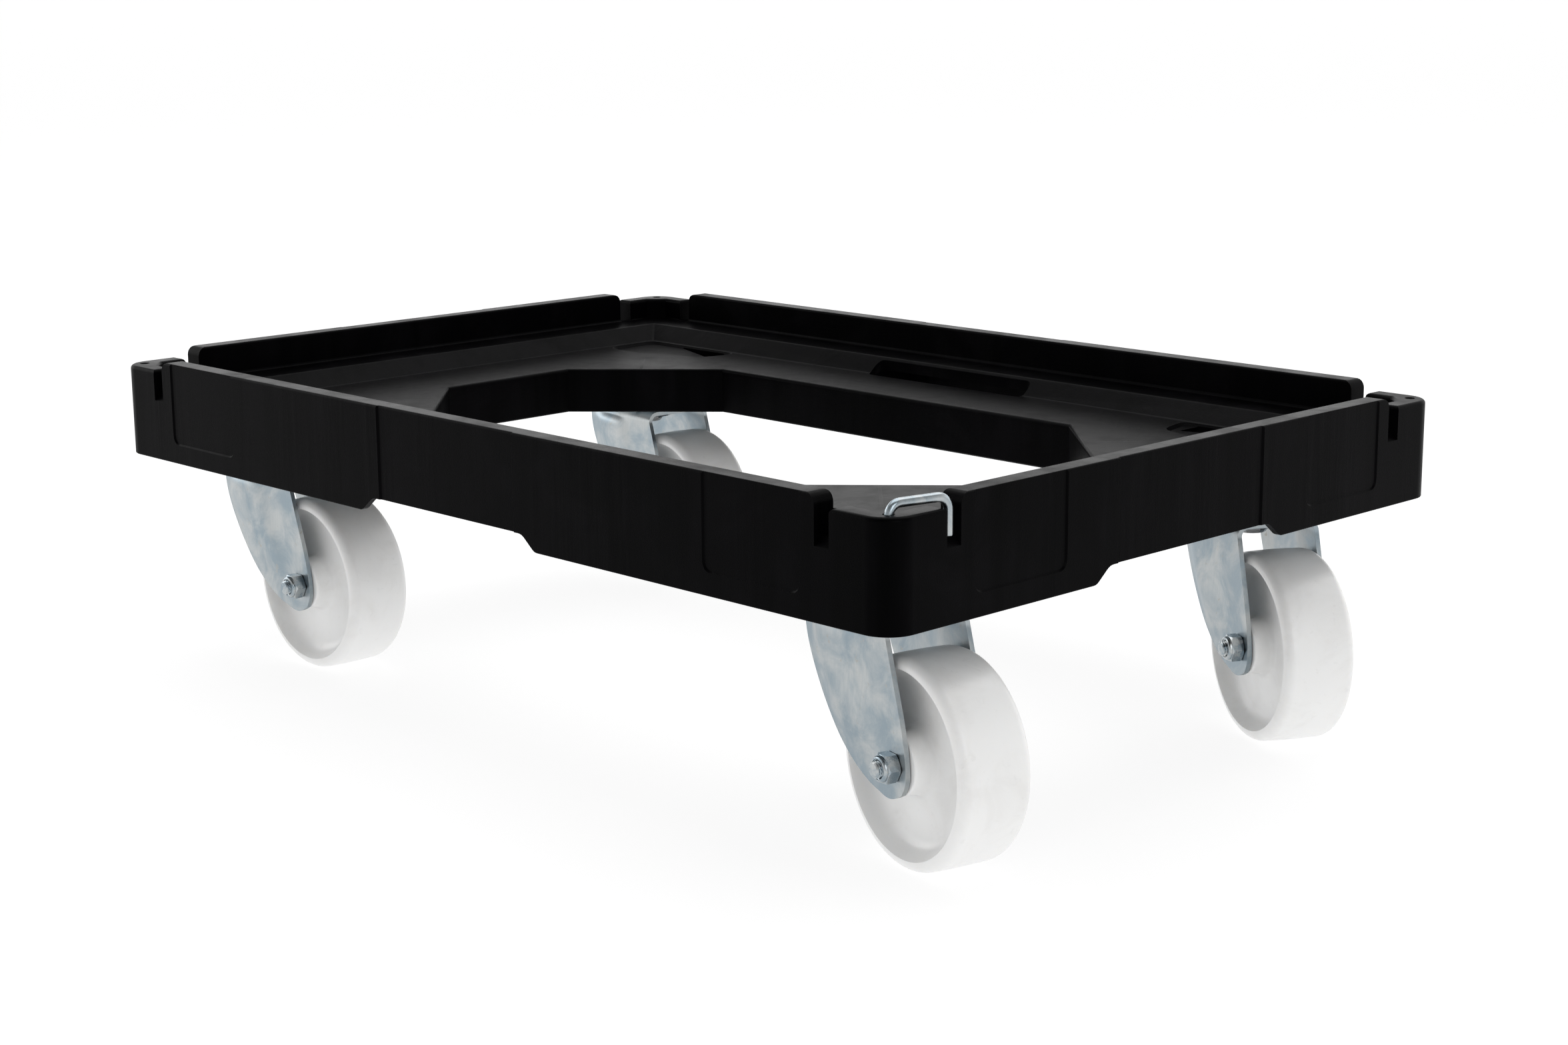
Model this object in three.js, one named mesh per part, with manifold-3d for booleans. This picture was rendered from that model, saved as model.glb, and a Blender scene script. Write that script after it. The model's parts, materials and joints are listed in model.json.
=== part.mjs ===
// A dolly for stacking crates: a moulded plastic frame with an octagonal middle opening, four swivel
// castors with solid nylon wheels, and a wire hook that couples one dolly to the next.
// Millimetres, +Z up, +X along the long side. The wheels stand on z = 0.
import * as THREE from 'three';
import { mergeVertices } from 'three/addons/utils/BufferGeometryUtils.js';
import Module from 'manifold-3d';

const wasm = await Module();
wasm.setup();

// ---- Driving dimensions -------------------------------------------------------------------------

// Moulded frame
const FRAME_LENGTH = 620;
const FRAME_WIDTH = 420;
const CORNER_RADIUS = 15;
const SKIN = 3.5;
const SKIRT_BOTTOM = 121;
const RAISED_BOTTOM = 129;
const RAISED_HALF = 62;
const RAISED_RUN = 10;
const WALL_TOP = 178.7;
const WALL_THICKNESS = 12;
const POST_TOP = 173.3;
const DECK_TOP = 150.7;
const LEDGE_TOP = 160;
const LEDGE_WIDTH = 22;
const LEDGE_SLOPE_RUN = 12;
const MIDDLE_HALF = 55.5;
const MIDDLE_RECESS = 1.2;
const PANEL_NEAR = 54;
const PANEL_FAR = 117;
const PANEL_BOTTOM = 132;
const PANEL_RECESS = 0.6;
const PANEL_RADIUS = 8;
const POST_FILL_RUN = 9;

// Slots that a coupling hook drops into, measured from the outer corner
const SLOT_NEAR = 36;
const SLOT_FAR = 45;
const SLOT_BOTTOM = 159;
const SOLID_END = 58;
const HOOK_HOLE_INSET = 10;
const HOOK_HOLE_RADIUS = 2.4;
const RETAINER_POCKET_RADIUS = 5;
const RETAINER_POCKET_TOP = 169.8;

// Octagonal opening and the skirt round it
const OPENING_HALF_X = 211;
const OPENING_HALF_Y = 112.5;
const OPENING_CUT_X = 71;
const OPENING_CUT_Y = 66;
const OPENING_SKIRT_BOTTOM = 123.5;

// Ribs under the deck
const RIB_HALF_THICKNESS = 1.3;
const RIB_BOTTOM = 132;
const LONG_SIDE_RIBS = [-150, -105, -70, 70, 105, 150];
const SHORT_SIDE_RIBS = [-60, -20, 20, 60];

// Slots and windows in the deck
const DECK_SLOT_HALF = 62;
const DECK_SLOT_NEAR = 161.5;
const DECK_SLOT_FAR = 174;
const DECK_SLOT_DEPTH = 10;
const POCKET_DEPTH = 1.75;
const POCKET_CORNERS = [[180, 164], [186, 137], [237, 121], [262, 123], [264, 164]];
const WINDOW_CORNERS = [[190, 146], [190, 162], [232, 162]];

// Castors
const PIVOT_X = 243;
const PIVOT_Y = 141;
const SEAT_BOTTOM = 128.3;
const SEAT_THICKNESS = 4;
const SEAT_HALF_X = 56;
const SEAT_HALF_Y = 43;
const SEAT_RIB_HALF = 1.5;
const PLATE_TOP = 128;
const PLATE_THICKNESS = 2.5;
const PLATE_HALF_X = 52.5;
const PLATE_HALF_Y = 40;
const PLATE_RADIUS = 8;
const DISH_FLOOR_RADIUS = 22.5;
const DISH_RIM_RADIUS = 28.5;
const DISH_WALL = 1.5;
const DISH_LAP = 3;
const BOLT_X = 40;
const BOLT_Y = 30;
const BOSS_RADIUS = 9;
const SEAT_HOLE_RADIUS = 4.4;
const PLATE_HOLE_RADIUS = 4.6;
const KINGPIN_RADIUS = 6;
const KINGPIN_HEAD_RADIUS = 9.5;
const KINGPIN_HEAD = 3.5;
const TRAIL = 40.5;
const WHEEL_RADIUS = 50;
const WHEEL_HALF_WIDTH = 19;
const HUB_HALF = 20;
const ARM_INNER = 20.6;
const ARM_THICKNESS = 2.5;
const ARM_TIP_RADIUS = 13.5;
const CROWN_HALF = 34;
const CROWN_BOTTOM = 111;
const CROWN_TOP = 114;
const CUP_INNER_RADIUS = 24.8;
const CUP_OUTER_RADIUS = 27;
const CUP_RISE = 4.5;
const RACE_RADIUS = 16.5;
const RACE_DROP = 4.7;
const BALL_RADIUS = 2.9;
const BALL_PITCH_RADIUS = 21;
const NUT_FLATS = 13;
const NUT_HEIGHT = 8;
const NUT_COLLAR_RADIUS = 5.9;
const NUT_COLLAR_HEIGHT = 1.8;
const NUT_BORE_RADIUS = 4.3;
const HEAD_HEIGHT = 5.3;
const BOLT_RADIUS = 4;
const BOLT_END = 2.5;
const AXLE_HOLE_RADIUS = 4.4;
const SLEEVE_RADIUS = 6.6;
const WHEEL_BORE_RADIUS = 7;
const HUB_RADIUS = 13;
const GAP = 0.3;

// Coupling hook
const WIRE_RADIUS = 2;
const HOOK_BAR_Z = 178;
const HOOK_BEND = 6;
const HOOK_LEG_INSET_X = 3;
const HOOK_LEG_Y = FRAME_WIDTH / 2 - (SLOT_NEAR + SLOT_FAR) / 2;
const HOOK_LEG_BOTTOM = 160;
const HOOK_PIN_BOTTOM = 145;
const RETAINER_BOTTOM = 147;
const RETAINER_THICKNESS = 1.2;
const RETAINER_RADIUS = 4.5;
const RETAINER_BORE_RADIUS = 2.3;

const HALF_X = FRAME_LENGTH / 2;
const HALF_Y = FRAME_WIDTH / 2;

// The balls run between the fork's crown and the floor of the dish pressed into the top plate.
const DISH_FLOOR = CROWN_TOP + 2 * BALL_RADIUS + 2 * GAP;

// The nut and the bolt's head bear on the outer faces of the arms.
const AXLE_FACE = ARM_INNER + ARM_THICKNESS + GAP;

const SIGNS = [1, -1];
const CORNERS = [[-1, -1], [1, -1], [1, 1], [-1, 1]];

// Cutters run past the faces they cut by OVERRUN, and up to a height that clears the whole dolly.
const OVERRUN = 1;
const CLEAR = 200;

// ---- Solids -------------------------------------------------------------------------------------

function solid(geometry) {
  const bare = geometry.clone();
  bare.deleteAttribute('normal');
  bare.deleteAttribute('uv');
  const merged = mergeVertices(bare, 1e-4);
  return new wasm.Manifold(new wasm.Mesh({
    numProp: 3,
    vertProperties: merged.attributes.position.array,
    triVerts: new Uint32Array(merged.index.array),
  }));
}

function geometryOf(shape) {
  const mesh = shape.getMesh();
  const geometry = new THREE.BufferGeometry();
  const places = new Float32Array(mesh.vertProperties);
  geometry.setAttribute('position', new THREE.BufferAttribute(places, 3));
  geometry.setIndex(new THREE.BufferAttribute(new Uint32Array(mesh.triVerts), 1));
  geometry.computeVertexNormals();
  return geometry;
}

function box(x0, x1, y0, y1, z0, z1) {
  const geometry = new THREE.BoxGeometry(Math.abs(x1 - x0), Math.abs(y1 - y0), z1 - z0);
  return solid(geometry.translate((x0 + x1) / 2, (y0 + y1) / 2, (z0 + z1) / 2));
}

function outlineOf(points) {
  return new THREE.Shape(points.map(([x, y]) => new THREE.Vector2(x, y)));
}

function prism(outline, z0, z1, curveSegments = 3) {
  const depth = z1 - z0;
  const geometry = new THREE.ExtrudeGeometry(outline, { depth, bevelEnabled: false, curveSegments });
  return solid(geometry.translate(0, 0, z0));
}

// A prism whose outline is drawn in X and Z and which runs from y0 to y1.
function prismAlongY(outline, y0, y1, curveSegments = 3) {
  const depth = y1 - y0;
  const geometry = new THREE.ExtrudeGeometry(outline, { depth, bevelEnabled: false, curveSegments });
  return solid(geometry.rotateX(Math.PI / 2).translate(0, y1, 0));
}

// A prism whose outline is drawn in Y and Z and which runs from x0 to x1.
function prismAlongX(outline, x0, x1, curveSegments = 3) {
  const depth = x1 - x0;
  const geometry = new THREE.ExtrudeGeometry(outline, { depth, bevelEnabled: false, curveSegments });
  return solid(geometry.rotateX(Math.PI / 2).rotateZ(Math.PI / 2).translate(x0, 0, 0));
}

function turned(profile, segments = 16) {
  const points = profile.map(([r, z]) => new THREE.Vector2(r, z));
  if (THREE.ShapeUtils.area(points) < 0) points.reverse();
  points.push(points[0].clone());
  return new THREE.LatheGeometry(points, segments).rotateX(Math.PI / 2);
}

function cylinder(radius, z0, z1, x = 0, y = 0, segments = 12) {
  const geometry = new THREE.CylinderGeometry(radius, radius, z1 - z0, segments);
  return solid(geometry.rotateX(Math.PI / 2).translate(x, y, (z0 + z1) / 2));
}

function joined(shapes) {
  return shapes.reduce((sum, shape) => sum.add(shape));
}

function cut(shape, tools) {
  return tools.reduce((rest, tool) => rest.subtract(tool), shape);
}

function roundedRectangle(halfX, halfY, radius) {
  const shape = new THREE.Shape();
  shape.absarc(halfX - radius, halfY - radius, radius, 0, Math.PI / 2);
  shape.absarc(radius - halfX, halfY - radius, radius, Math.PI / 2, Math.PI);
  shape.absarc(radius - halfX, radius - halfY, radius, Math.PI, 1.5 * Math.PI);
  shape.absarc(halfX - radius, radius - halfY, radius, 1.5 * Math.PI, 2 * Math.PI);
  return shape;
}

// The frame's outline, moved in from the outer face.
function frameOutline(inset) {
  return roundedRectangle(HALF_X - inset, HALF_Y - inset, Math.max(CORNER_RADIUS - inset, 2));
}

// A block with a rectangular base and a rectangular top of another size.
function taperedBlock(base, z0, top, z1) {
  const geometry = new THREE.BoxGeometry(2, 2, 2);
  const place = geometry.attributes.position;
  for (let i = 0; i < place.count; i += 1) {
    const upper = place.getZ(i) > 0;
    const half = upper ? top : base;
    place.setXYZ(i, place.getX(i) * half[0], place.getY(i) * half[1], upper ? z1 : z0);
  }
  return solid(geometry);
}

// The octagonal opening, grown outwards by an offset, its cut corners kept parallel.
function openingOutline(offset) {
  const diagonal = Math.hypot(OPENING_CUT_X, OPENING_CUT_Y);
  const x = OPENING_HALF_X + offset;
  const y = OPENING_HALF_Y + offset;
  const cutX = OPENING_CUT_X + offset - offset * (diagonal - OPENING_CUT_X) / OPENING_CUT_Y;
  const cutY = OPENING_CUT_Y + offset - offset * (diagonal - OPENING_CUT_Y) / OPENING_CUT_X;
  return outlineOf([
    [x - cutX, y], [cutX - x, y], [-x, y - cutY], [-x, cutY - y],
    [cutX - x, -y], [x - cutX, -y], [x, cutY - y], [x, y - cutY],
  ]);
}

// ---- Moulded frame ------------------------------------------------------------------------------

// The skirt and the upstand wall that keeps a crate in place. The wall is hollow and open from
// below, except near the corners, where it is solid round the hook slots.
function frameWalls() {
  const skirt = prism(frameOutline(0), SKIRT_BOTTOM, WALL_TOP).subtract(
    prism(frameOutline(SKIN), SKIRT_BOTTOM - OVERRUN, WALL_TOP - SKIN));
  const tray = prism(frameOutline(WALL_THICKNESS), LEDGE_TOP, WALL_TOP + OVERRUN);
  const innerWall = prism(frameOutline(WALL_THICKNESS - SKIN), LEDGE_TOP - SKIN, WALL_TOP - 1);
  const ends = CORNERS.map(([sx, sy]) => {
    const cornerX = [sx * (HALF_X - SOLID_END), sx * HALF_X];
    const cornerY = [sy * (HALF_Y - SOLID_END), sy * HALF_Y];
    const filled = prism(frameOutline(SKIN - 1), LEDGE_TOP - SKIN, WALL_TOP - 1);
    return filled.intersect(box(...cornerX, ...cornerY, 0, CLEAR));
  });
  const core = joined([
    innerWall.subtract(prism(frameOutline(WALL_THICKNESS), 0, CLEAR)),
    ...ends.map((end) => end.subtract(prism(frameOutline(WALL_THICKNESS), 0, CLEAR))),
  ]);
  return skirt.subtract(tray).add(core);
}

// The crate stands on a ledge along the walls; the deck steps down inside it on a short slope.
function frameDeck() {
  const ledgeIn = WALL_THICKNESS + LEDGE_WIDTH;
  const slopeIn = ledgeIn + LEDGE_SLOPE_RUN;
  const plate = prism(frameOutline(WALL_THICKNESS - SKIN), DECK_TOP - SKIN, LEDGE_TOP);
  const dish = taperedBlock(
    [HALF_X - slopeIn, HALF_Y - slopeIn], DECK_TOP, [HALF_X - ledgeIn, HALF_Y - ledgeIn], LEDGE_TOP + 0.01);
  const underside = prism(frameOutline(SKIN), DECK_TOP - SKIN - 1, LEDGE_TOP - SKIN).subtract(taperedBlock(
    [HALF_X - slopeIn + SKIN, HALF_Y - slopeIn + SKIN], DECK_TOP - SKIN - 1.01,
    [HALF_X - ledgeIn + SKIN, HALF_Y - ledgeIn + SKIN], LEDGE_TOP - SKIN + 0.01));
  return plate.subtract(dish).subtract(underside);
}

function openingSkirt() {
  return prism(openingOutline(SKIN), OPENING_SKIRT_BOTTOM, DECK_TOP)
    .subtract(prism(openingOutline(0), 0, CLEAR));
}

// Ribs under the deck that tie the outer skirt to the skirt of the opening.
function deckRibs() {
  const half = RIB_HALF_THICKNESS;
  const top = DECK_TOP - 1;
  const ribs = [];
  for (const sy of SIGNS) {
    for (const x of LONG_SIDE_RIBS) {
      ribs.push(box(x - half, x + half, sy * (OPENING_HALF_Y + 1), sy * (HALF_Y - 2), RIB_BOTTOM, top));
    }
  }
  for (const sx of SIGNS) {
    for (const y of SHORT_SIDE_RIBS) {
      ribs.push(box(sx * (OPENING_HALF_X + 1), sx * (HALF_X - 2), y - half, y + half, RIB_BOTTOM, top));
    }
  }
  return joined(ribs).subtract(prism(openingOutline(0), 0, CLEAR));
}

// The flat seat of one castor: a plate on four screw bosses and two crossed ribs.
function castorSeat(sx, sy) {
  const x = sx * PIVOT_X;
  const y = sy * PIVOT_Y;
  const top = DECK_TOP - SKIN;
  const plate = box(x - SEAT_HALF_X, x + SEAT_HALF_X, y - SEAT_HALF_Y, y + SEAT_HALF_Y,
    SEAT_BOTTOM, SEAT_BOTTOM + SEAT_THICKNESS);
  const bosses = SIGNS.flatMap((bx) => SIGNS.map((by) => (
    cylinder(BOSS_RADIUS, SEAT_BOTTOM, top, x + bx * BOLT_X, y + by * BOLT_Y))));
  const ribs = [
    box(x - sx * SEAT_HALF_X, sx * (HALF_X - 2), y - SEAT_RIB_HALF, y + SEAT_RIB_HALF, SEAT_BOTTOM, top),
    box(x - SEAT_RIB_HALF, x + SEAT_RIB_HALF, y - sy * SEAT_HALF_Y, sy * (HALF_Y - 2), SEAT_BOTTOM, top),
  ];
  return joined([plate, ...bosses, ...ribs]);
}

function screwHoles(sx, sy) {
  const x = sx * PIVOT_X;
  const y = sy * PIVOT_Y;
  return SIGNS.flatMap((bx) => SIGNS.map((by) => cylinder(
    SEAT_HOLE_RADIUS, SEAT_BOTTOM - OVERRUN, DECK_TOP - SKIN - 1, x + bx * BOLT_X, y + by * BOLT_Y)));
}

// A hook slot through the wall on each side of a corner, and the lower post between the two.
function cornerCuts(sx, sy) {
  const farX = HALF_X - SLOT_FAR;
  const nearX = HALF_X - SLOT_NEAR;
  const farY = HALF_Y - SLOT_FAR;
  const nearY = HALF_Y - SLOT_NEAR;
  const inX = HALF_X - WALL_THICKNESS - OVERRUN;
  const inY = HALF_Y - WALL_THICKNESS - OVERRUN;
  const outX = sx * (HALF_X + OVERRUN);
  const outY = sy * (HALF_Y + OVERRUN);
  const top = WALL_TOP + OVERRUN;
  return [
    box(sx * farX, sx * nearX, sy * inY, outY, SLOT_BOTTOM, top),
    box(sx * inX, outX, sy * farY, sy * nearY, SLOT_BOTTOM, top),
    box(sx * (nearX - OVERRUN), outX, sy * (nearY - OVERRUN), outY, POST_TOP, top),
  ];
}

// The inside corner of a post is filled across, which leaves material round the hook's hole.
function cornerFillet(sx, sy) {
  const x = HALF_X - WALL_THICKNESS + 1;
  const y = HALF_Y - WALL_THICKNESS + 1;
  const outline = outlineOf([
    [sx * x, sy * y], [sx * (x - POST_FILL_RUN), sy * y], [sx * x, sy * (y - POST_FILL_RUN)],
  ]);
  return prism(outline, LEDGE_TOP - 1, POST_TOP);
}

function hookHole(sx, sy) {
  const x = sx * (HALF_X - HOOK_HOLE_INSET);
  const y = sy * (HALF_Y - HOOK_HOLE_INSET);
  return [
    cylinder(HOOK_HOLE_RADIUS, 0, CLEAR, x, y),
    cylinder(RETAINER_POCKET_RADIUS, 0, RETAINER_POCKET_TOP, x, y),
  ];
}

// The two ends, in rising order, of a cutter that enters one outer face to a given depth.
function throughFace(side, half, depth) {
  return [side * (half - depth), side * (half + OVERRUN)].sort((a, b) => a - b);
}

// The skirt's lower edge is higher in the middle of each side.
function raisedEdges() {
  const half = RAISED_HALF;
  const low = SKIRT_BOTTOM - OVERRUN;
  const run = RAISED_RUN * (RAISED_BOTTOM - low) / (RAISED_BOTTOM - SKIRT_BOTTOM);
  const outline = outlineOf([
    [-half - run, low], [half + run, low], [half, RAISED_BOTTOM], [-half, RAISED_BOTTOM],
  ]);
  return SIGNS.flatMap((side) => [
    prismAlongY(outline, ...throughFace(side, HALF_Y, SKIN + OVERRUN)),
    prismAlongX(outline, ...throughFace(side, HALF_X, SKIN + OVERRUN)),
  ]);
}

function panelOutline(middle, half) {
  const top = WALL_TOP + OVERRUN;
  const bend = PANEL_BOTTOM + PANEL_RADIUS;
  const shape = new THREE.Shape();
  shape.moveTo(middle - half, top);
  shape.absarc(middle - half + PANEL_RADIUS, bend, PANEL_RADIUS, Math.PI, 1.5 * Math.PI);
  shape.absarc(middle + half - PANEL_RADIUS, bend, PANEL_RADIUS, 1.5 * Math.PI, 2 * Math.PI);
  shape.lineTo(middle + half, top);
  return shape;
}

// Shallow recesses in the outer faces: the middle of each side, and a panel near each corner.
function faceRecesses() {
  const middle = (PANEL_NEAR + PANEL_FAR) / 2;
  const half = (PANEL_FAR - PANEL_NEAR) / 2;
  const tools = [];
  for (const side of SIGNS) {
    const middleY = throughFace(side, HALF_Y, MIDDLE_RECESS);
    const middleX = throughFace(side, HALF_X, MIDDLE_RECESS);
    tools.push(box(-MIDDLE_HALF, MIDDLE_HALF, ...middleY, 0, CLEAR));
    tools.push(box(...middleX, -MIDDLE_HALF, MIDDLE_HALF, 0, CLEAR));
    for (const end of SIGNS) {
      const panelY = throughFace(side, HALF_Y, PANEL_RECESS);
      const panelX = throughFace(side, HALF_X, PANEL_RECESS);
      tools.push(prismAlongY(panelOutline(end * (HALF_X - middle), half), ...panelY, 2));
      tools.push(prismAlongX(panelOutline(end * (HALF_Y - middle), half), ...panelX, 2));
    }
  }
  return tools;
}

// A long slot in the middle of each long side's deck.
function deckSlots() {
  const radius = (DECK_SLOT_FAR - DECK_SLOT_NEAR) / 2;
  const middle = (DECK_SLOT_FAR + DECK_SLOT_NEAR) / 2;
  const straight = DECK_SLOT_HALF - radius;
  return SIGNS.map((sy) => {
    const outline = new THREE.Shape();
    outline.absarc(straight, sy * middle, radius, -Math.PI / 2, Math.PI / 2);
    outline.absarc(-straight, sy * middle, radius, Math.PI / 2, 1.5 * Math.PI);
    return prism(outline, DECK_TOP - DECK_SLOT_DEPTH, LEDGE_TOP + OVERRUN);
  });
}

// A shallow pocket in the deck over each castor, with a three-cornered window at its inner end.
function castorPocket(sx, sy) {
  const mirror = (points) => outlineOf(points.map(([x, y]) => [sx * x, sy * y]));
  return [
    prism(mirror(POCKET_CORNERS), DECK_TOP - POCKET_DEPTH, DECK_TOP + OVERRUN),
    prism(mirror(WINDOW_CORNERS), SEAT_BOTTOM - OVERRUN, DECK_TOP + OVERRUN),
  ];
}

function deckFrame() {
  const seats = CORNERS.map(([sx, sy]) => castorSeat(sx, sy));
  const body = joined([
    frameWalls(),
    frameDeck().subtract(prism(openingOutline(0), 0, CLEAR)),
    openingSkirt(),
    deckRibs(),
    ...seats,
    ...CORNERS.map(([sx, sy]) => cornerFillet(sx, sy)),
  ]);
  return cut(body, [
    ...raisedEdges(),
    ...faceRecesses(),
    ...deckSlots(),
    ...CORNERS.flatMap(([sx, sy]) => [
      ...cornerCuts(sx, sy), ...hookHole(sx, sy), ...screwHoles(sx, sy), ...castorPocket(sx, sy),
    ]),
  ]);
}

// ---- Castors, drawn with the swivel axis on z and the wheel trailing towards +X ------------------

// The top plate: a flat plate with rounded corners and a pressed dish that is the upper ball race.
function castorPlate() {
  const underside = PLATE_TOP - PLATE_THICKNESS;
  const outline = roundedRectangle(PLATE_HALF_X, PLATE_HALF_Y, PLATE_RADIUS);
  const flat = prism(outline, underside, PLATE_TOP, 2);
  const bore = KINGPIN_RADIUS + GAP;
  const outer = DISH_RIM_RADIUS + DISH_WALL;
  const dish = solid(turned([
    [bore, DISH_FLOOR], [DISH_FLOOR_RADIUS + DISH_WALL, DISH_FLOOR], [outer, underside],
    [outer + DISH_LAP, underside], [outer + DISH_LAP, PLATE_TOP], [DISH_RIM_RADIUS, PLATE_TOP],
    [DISH_FLOOR_RADIUS, DISH_FLOOR + PLATE_THICKNESS], [bore, DISH_FLOOR + PLATE_THICKNESS],
  ]));
  const holes = SIGNS.flatMap((bx) => SIGNS.map((by) => (
    cylinder(PLATE_HOLE_RADIUS, 0, CLEAR, bx * BOLT_X, by * BOLT_Y))));
  return cut(flat.subtract(cylinder(outer, 0, CLEAR, 0, 0, 20)).add(dish), holes);
}

// One arm from the side: a long curve ahead of the wheel, a rounded tip and a straight edge behind.
function armOutline() {
  const tipStart = -2.0;
  const tipEnd = 0.15;
  const shape = new THREE.Shape();
  shape.moveTo(-CROWN_HALF, CROWN_TOP);
  shape.quadraticCurveTo(-20, WHEEL_RADIUS, TRAIL + ARM_TIP_RADIUS * Math.cos(tipStart),
    WHEEL_RADIUS + ARM_TIP_RADIUS * Math.sin(tipStart));
  shape.absarc(TRAIL, WHEEL_RADIUS, ARM_TIP_RADIUS, tipStart, tipEnd);
  shape.lineTo(CROWN_HALF, CROWN_TOP);
  return shape;
}

// The pressed fork: a crown with its ball cup, two arms bent down from it, and holes for the axle.
function fork() {
  const outer = ARM_INNER + ARM_THICKNESS;
  const hole = KINGPIN_RADIUS + 1;
  const crown = box(-CROWN_HALF, CROWN_HALF, -outer, outer, CROWN_BOTTOM, CROWN_TOP);
  const cup = solid(turned([
    [hole, CROWN_BOTTOM], [CUP_OUTER_RADIUS, CROWN_BOTTOM], [CUP_OUTER_RADIUS, CROWN_TOP + CUP_RISE],
    [CUP_INNER_RADIUS, CROWN_TOP + CUP_RISE], [CUP_INNER_RADIUS, CROWN_TOP], [hole, CROWN_TOP],
  ]));
  const arms = SIGNS.map((side) => {
    const faces = [side * ARM_INNER, side * outer].sort((a, b) => a - b);
    return prismAlongY(armOutline(), ...faces, 5);
  });
  const axleHole = new THREE.CylinderGeometry(AXLE_HOLE_RADIUS, AXLE_HOLE_RADIUS, 4 * outer, 12)
    .translate(TRAIL, 0, WHEEL_RADIUS);
  const kingpinHole = cylinder(hole, 0, CLEAR, 0, 0, 20);
  return cut(joined([crown, cup, ...arms]), [solid(axleHole), kingpinHole]);
}

// One ring, six-sided in section, in the place of the row of balls.
function ballRow() {
  const sides = 6;
  const middle = CROWN_TOP + GAP + BALL_RADIUS;
  const points = Array.from({ length: sides }, (_, i) => {
    const angle = (i + 0.5) * 2 * Math.PI / sides;
    return [BALL_PITCH_RADIUS + BALL_RADIUS * Math.cos(angle), middle + BALL_RADIUS * Math.sin(angle)];
  });
  return turned(points);
}

// The rivet that holds the plate, the fork and the lower race together.
function kingpin() {
  const headTop = CROWN_BOTTOM - RACE_DROP - GAP;
  const headBottom = headTop - KINGPIN_HEAD;
  const rivet = DISH_FLOOR + PLATE_THICKNESS + GAP;
  return turned([
    [0, headBottom], [KINGPIN_HEAD_RADIUS - 1.5, headBottom], [KINGPIN_HEAD_RADIUS, headBottom + 2],
    [KINGPIN_HEAD_RADIUS, headTop], [KINGPIN_RADIUS, headTop], [KINGPIN_RADIUS, rivet],
    [KINGPIN_HEAD_RADIUS, rivet], [KINGPIN_HEAD_RADIUS - 1.5, rivet + 3], [4, rivet + 4], [0, rivet + 4],
  ]);
}

// A thin ring with a turned-up rim, between the crown and the kingpin's head.
function lowerRace() {
  const bottom = CROWN_BOTTOM - RACE_DROP;
  const bore = KINGPIN_RADIUS + GAP;
  return turned([
    [bore, bottom], [RACE_RADIUS - 1.5, bottom], [RACE_RADIUS, bottom + 2.3],
    [RACE_RADIUS - 1, bottom + 3.5], [RACE_RADIUS - 3, bottom + 2.4], [bore, bottom + 2.4],
  ]);
}

function hexagon(z0, z1) {
  const corner = NUT_FLATS / Math.sqrt(3);
  return new THREE.CylinderGeometry(corner, corner, z1 - z0, 6)
    .rotateX(Math.PI / 2).translate(0, 0, (z0 + z1) / 2);
}

// Axle pieces are drawn along z about the wheel's centre and laid along y afterwards.
function axleBolt() {
  const shank = cylinder(BOLT_RADIUS, -AXLE_FACE - 1, AXLE_FACE + NUT_HEIGHT + BOLT_END);
  return solid(hexagon(-AXLE_FACE - HEAD_HEIGHT, -AXLE_FACE)).add(shank);
}

// A lock nut: a hexagon with a round collar at its outer end.
function axleNut() {
  const end = AXLE_FACE + NUT_HEIGHT;
  const collar = cylinder(NUT_COLLAR_RADIUS, AXLE_FACE, end);
  const nut = solid(hexagon(AXLE_FACE, end - NUT_COLLAR_HEIGHT)).add(collar);
  return nut.subtract(cylinder(NUT_BORE_RADIUS, 0, end + OVERRUN));
}

function axleSleeve() {
  return turned([
    [AXLE_HOLE_RADIUS, -HUB_HALF - GAP], [SLEEVE_RADIUS, -HUB_HALF - GAP],
    [SLEEVE_RADIUS, HUB_HALF + GAP], [AXLE_HOLE_RADIUS, HUB_HALF + GAP],
  ], 12);
}

// A solid wheel: slightly crowned tread, a dished web on each side and a long hub.
function wheel() {
  const upper = [
    [WHEEL_BORE_RADIUS, HUB_HALF], [HUB_RADIUS, HUB_HALF], [HUB_RADIUS + 2.5, 9],
    [WHEEL_RADIUS - 10, 8], [WHEEL_RADIUS - 4.5, WHEEL_HALF_WIDTH],
    [WHEEL_RADIUS - 2.5, WHEEL_HALF_WIDTH], [WHEEL_RADIUS - 0.4, WHEEL_HALF_WIDTH - 3],
  ];
  const lower = upper.map(([r, z]) => [r, -z]).reverse();
  return turned([...upper, [WHEEL_RADIUS, 0], ...lower], 28);
}

function seatScrew() {
  const headTop = PLATE_TOP - PLATE_THICKNESS - GAP;
  const shank = cylinder(BOLT_RADIUS, headTop - 1, DECK_TOP - SKIN - 4, 0, 0, 10);
  return solid(hexagon(headTop - HEAD_HEIGHT, headTop)).add(shank);
}

// ---- Coupling hook ------------------------------------------------------------------------------

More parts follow.
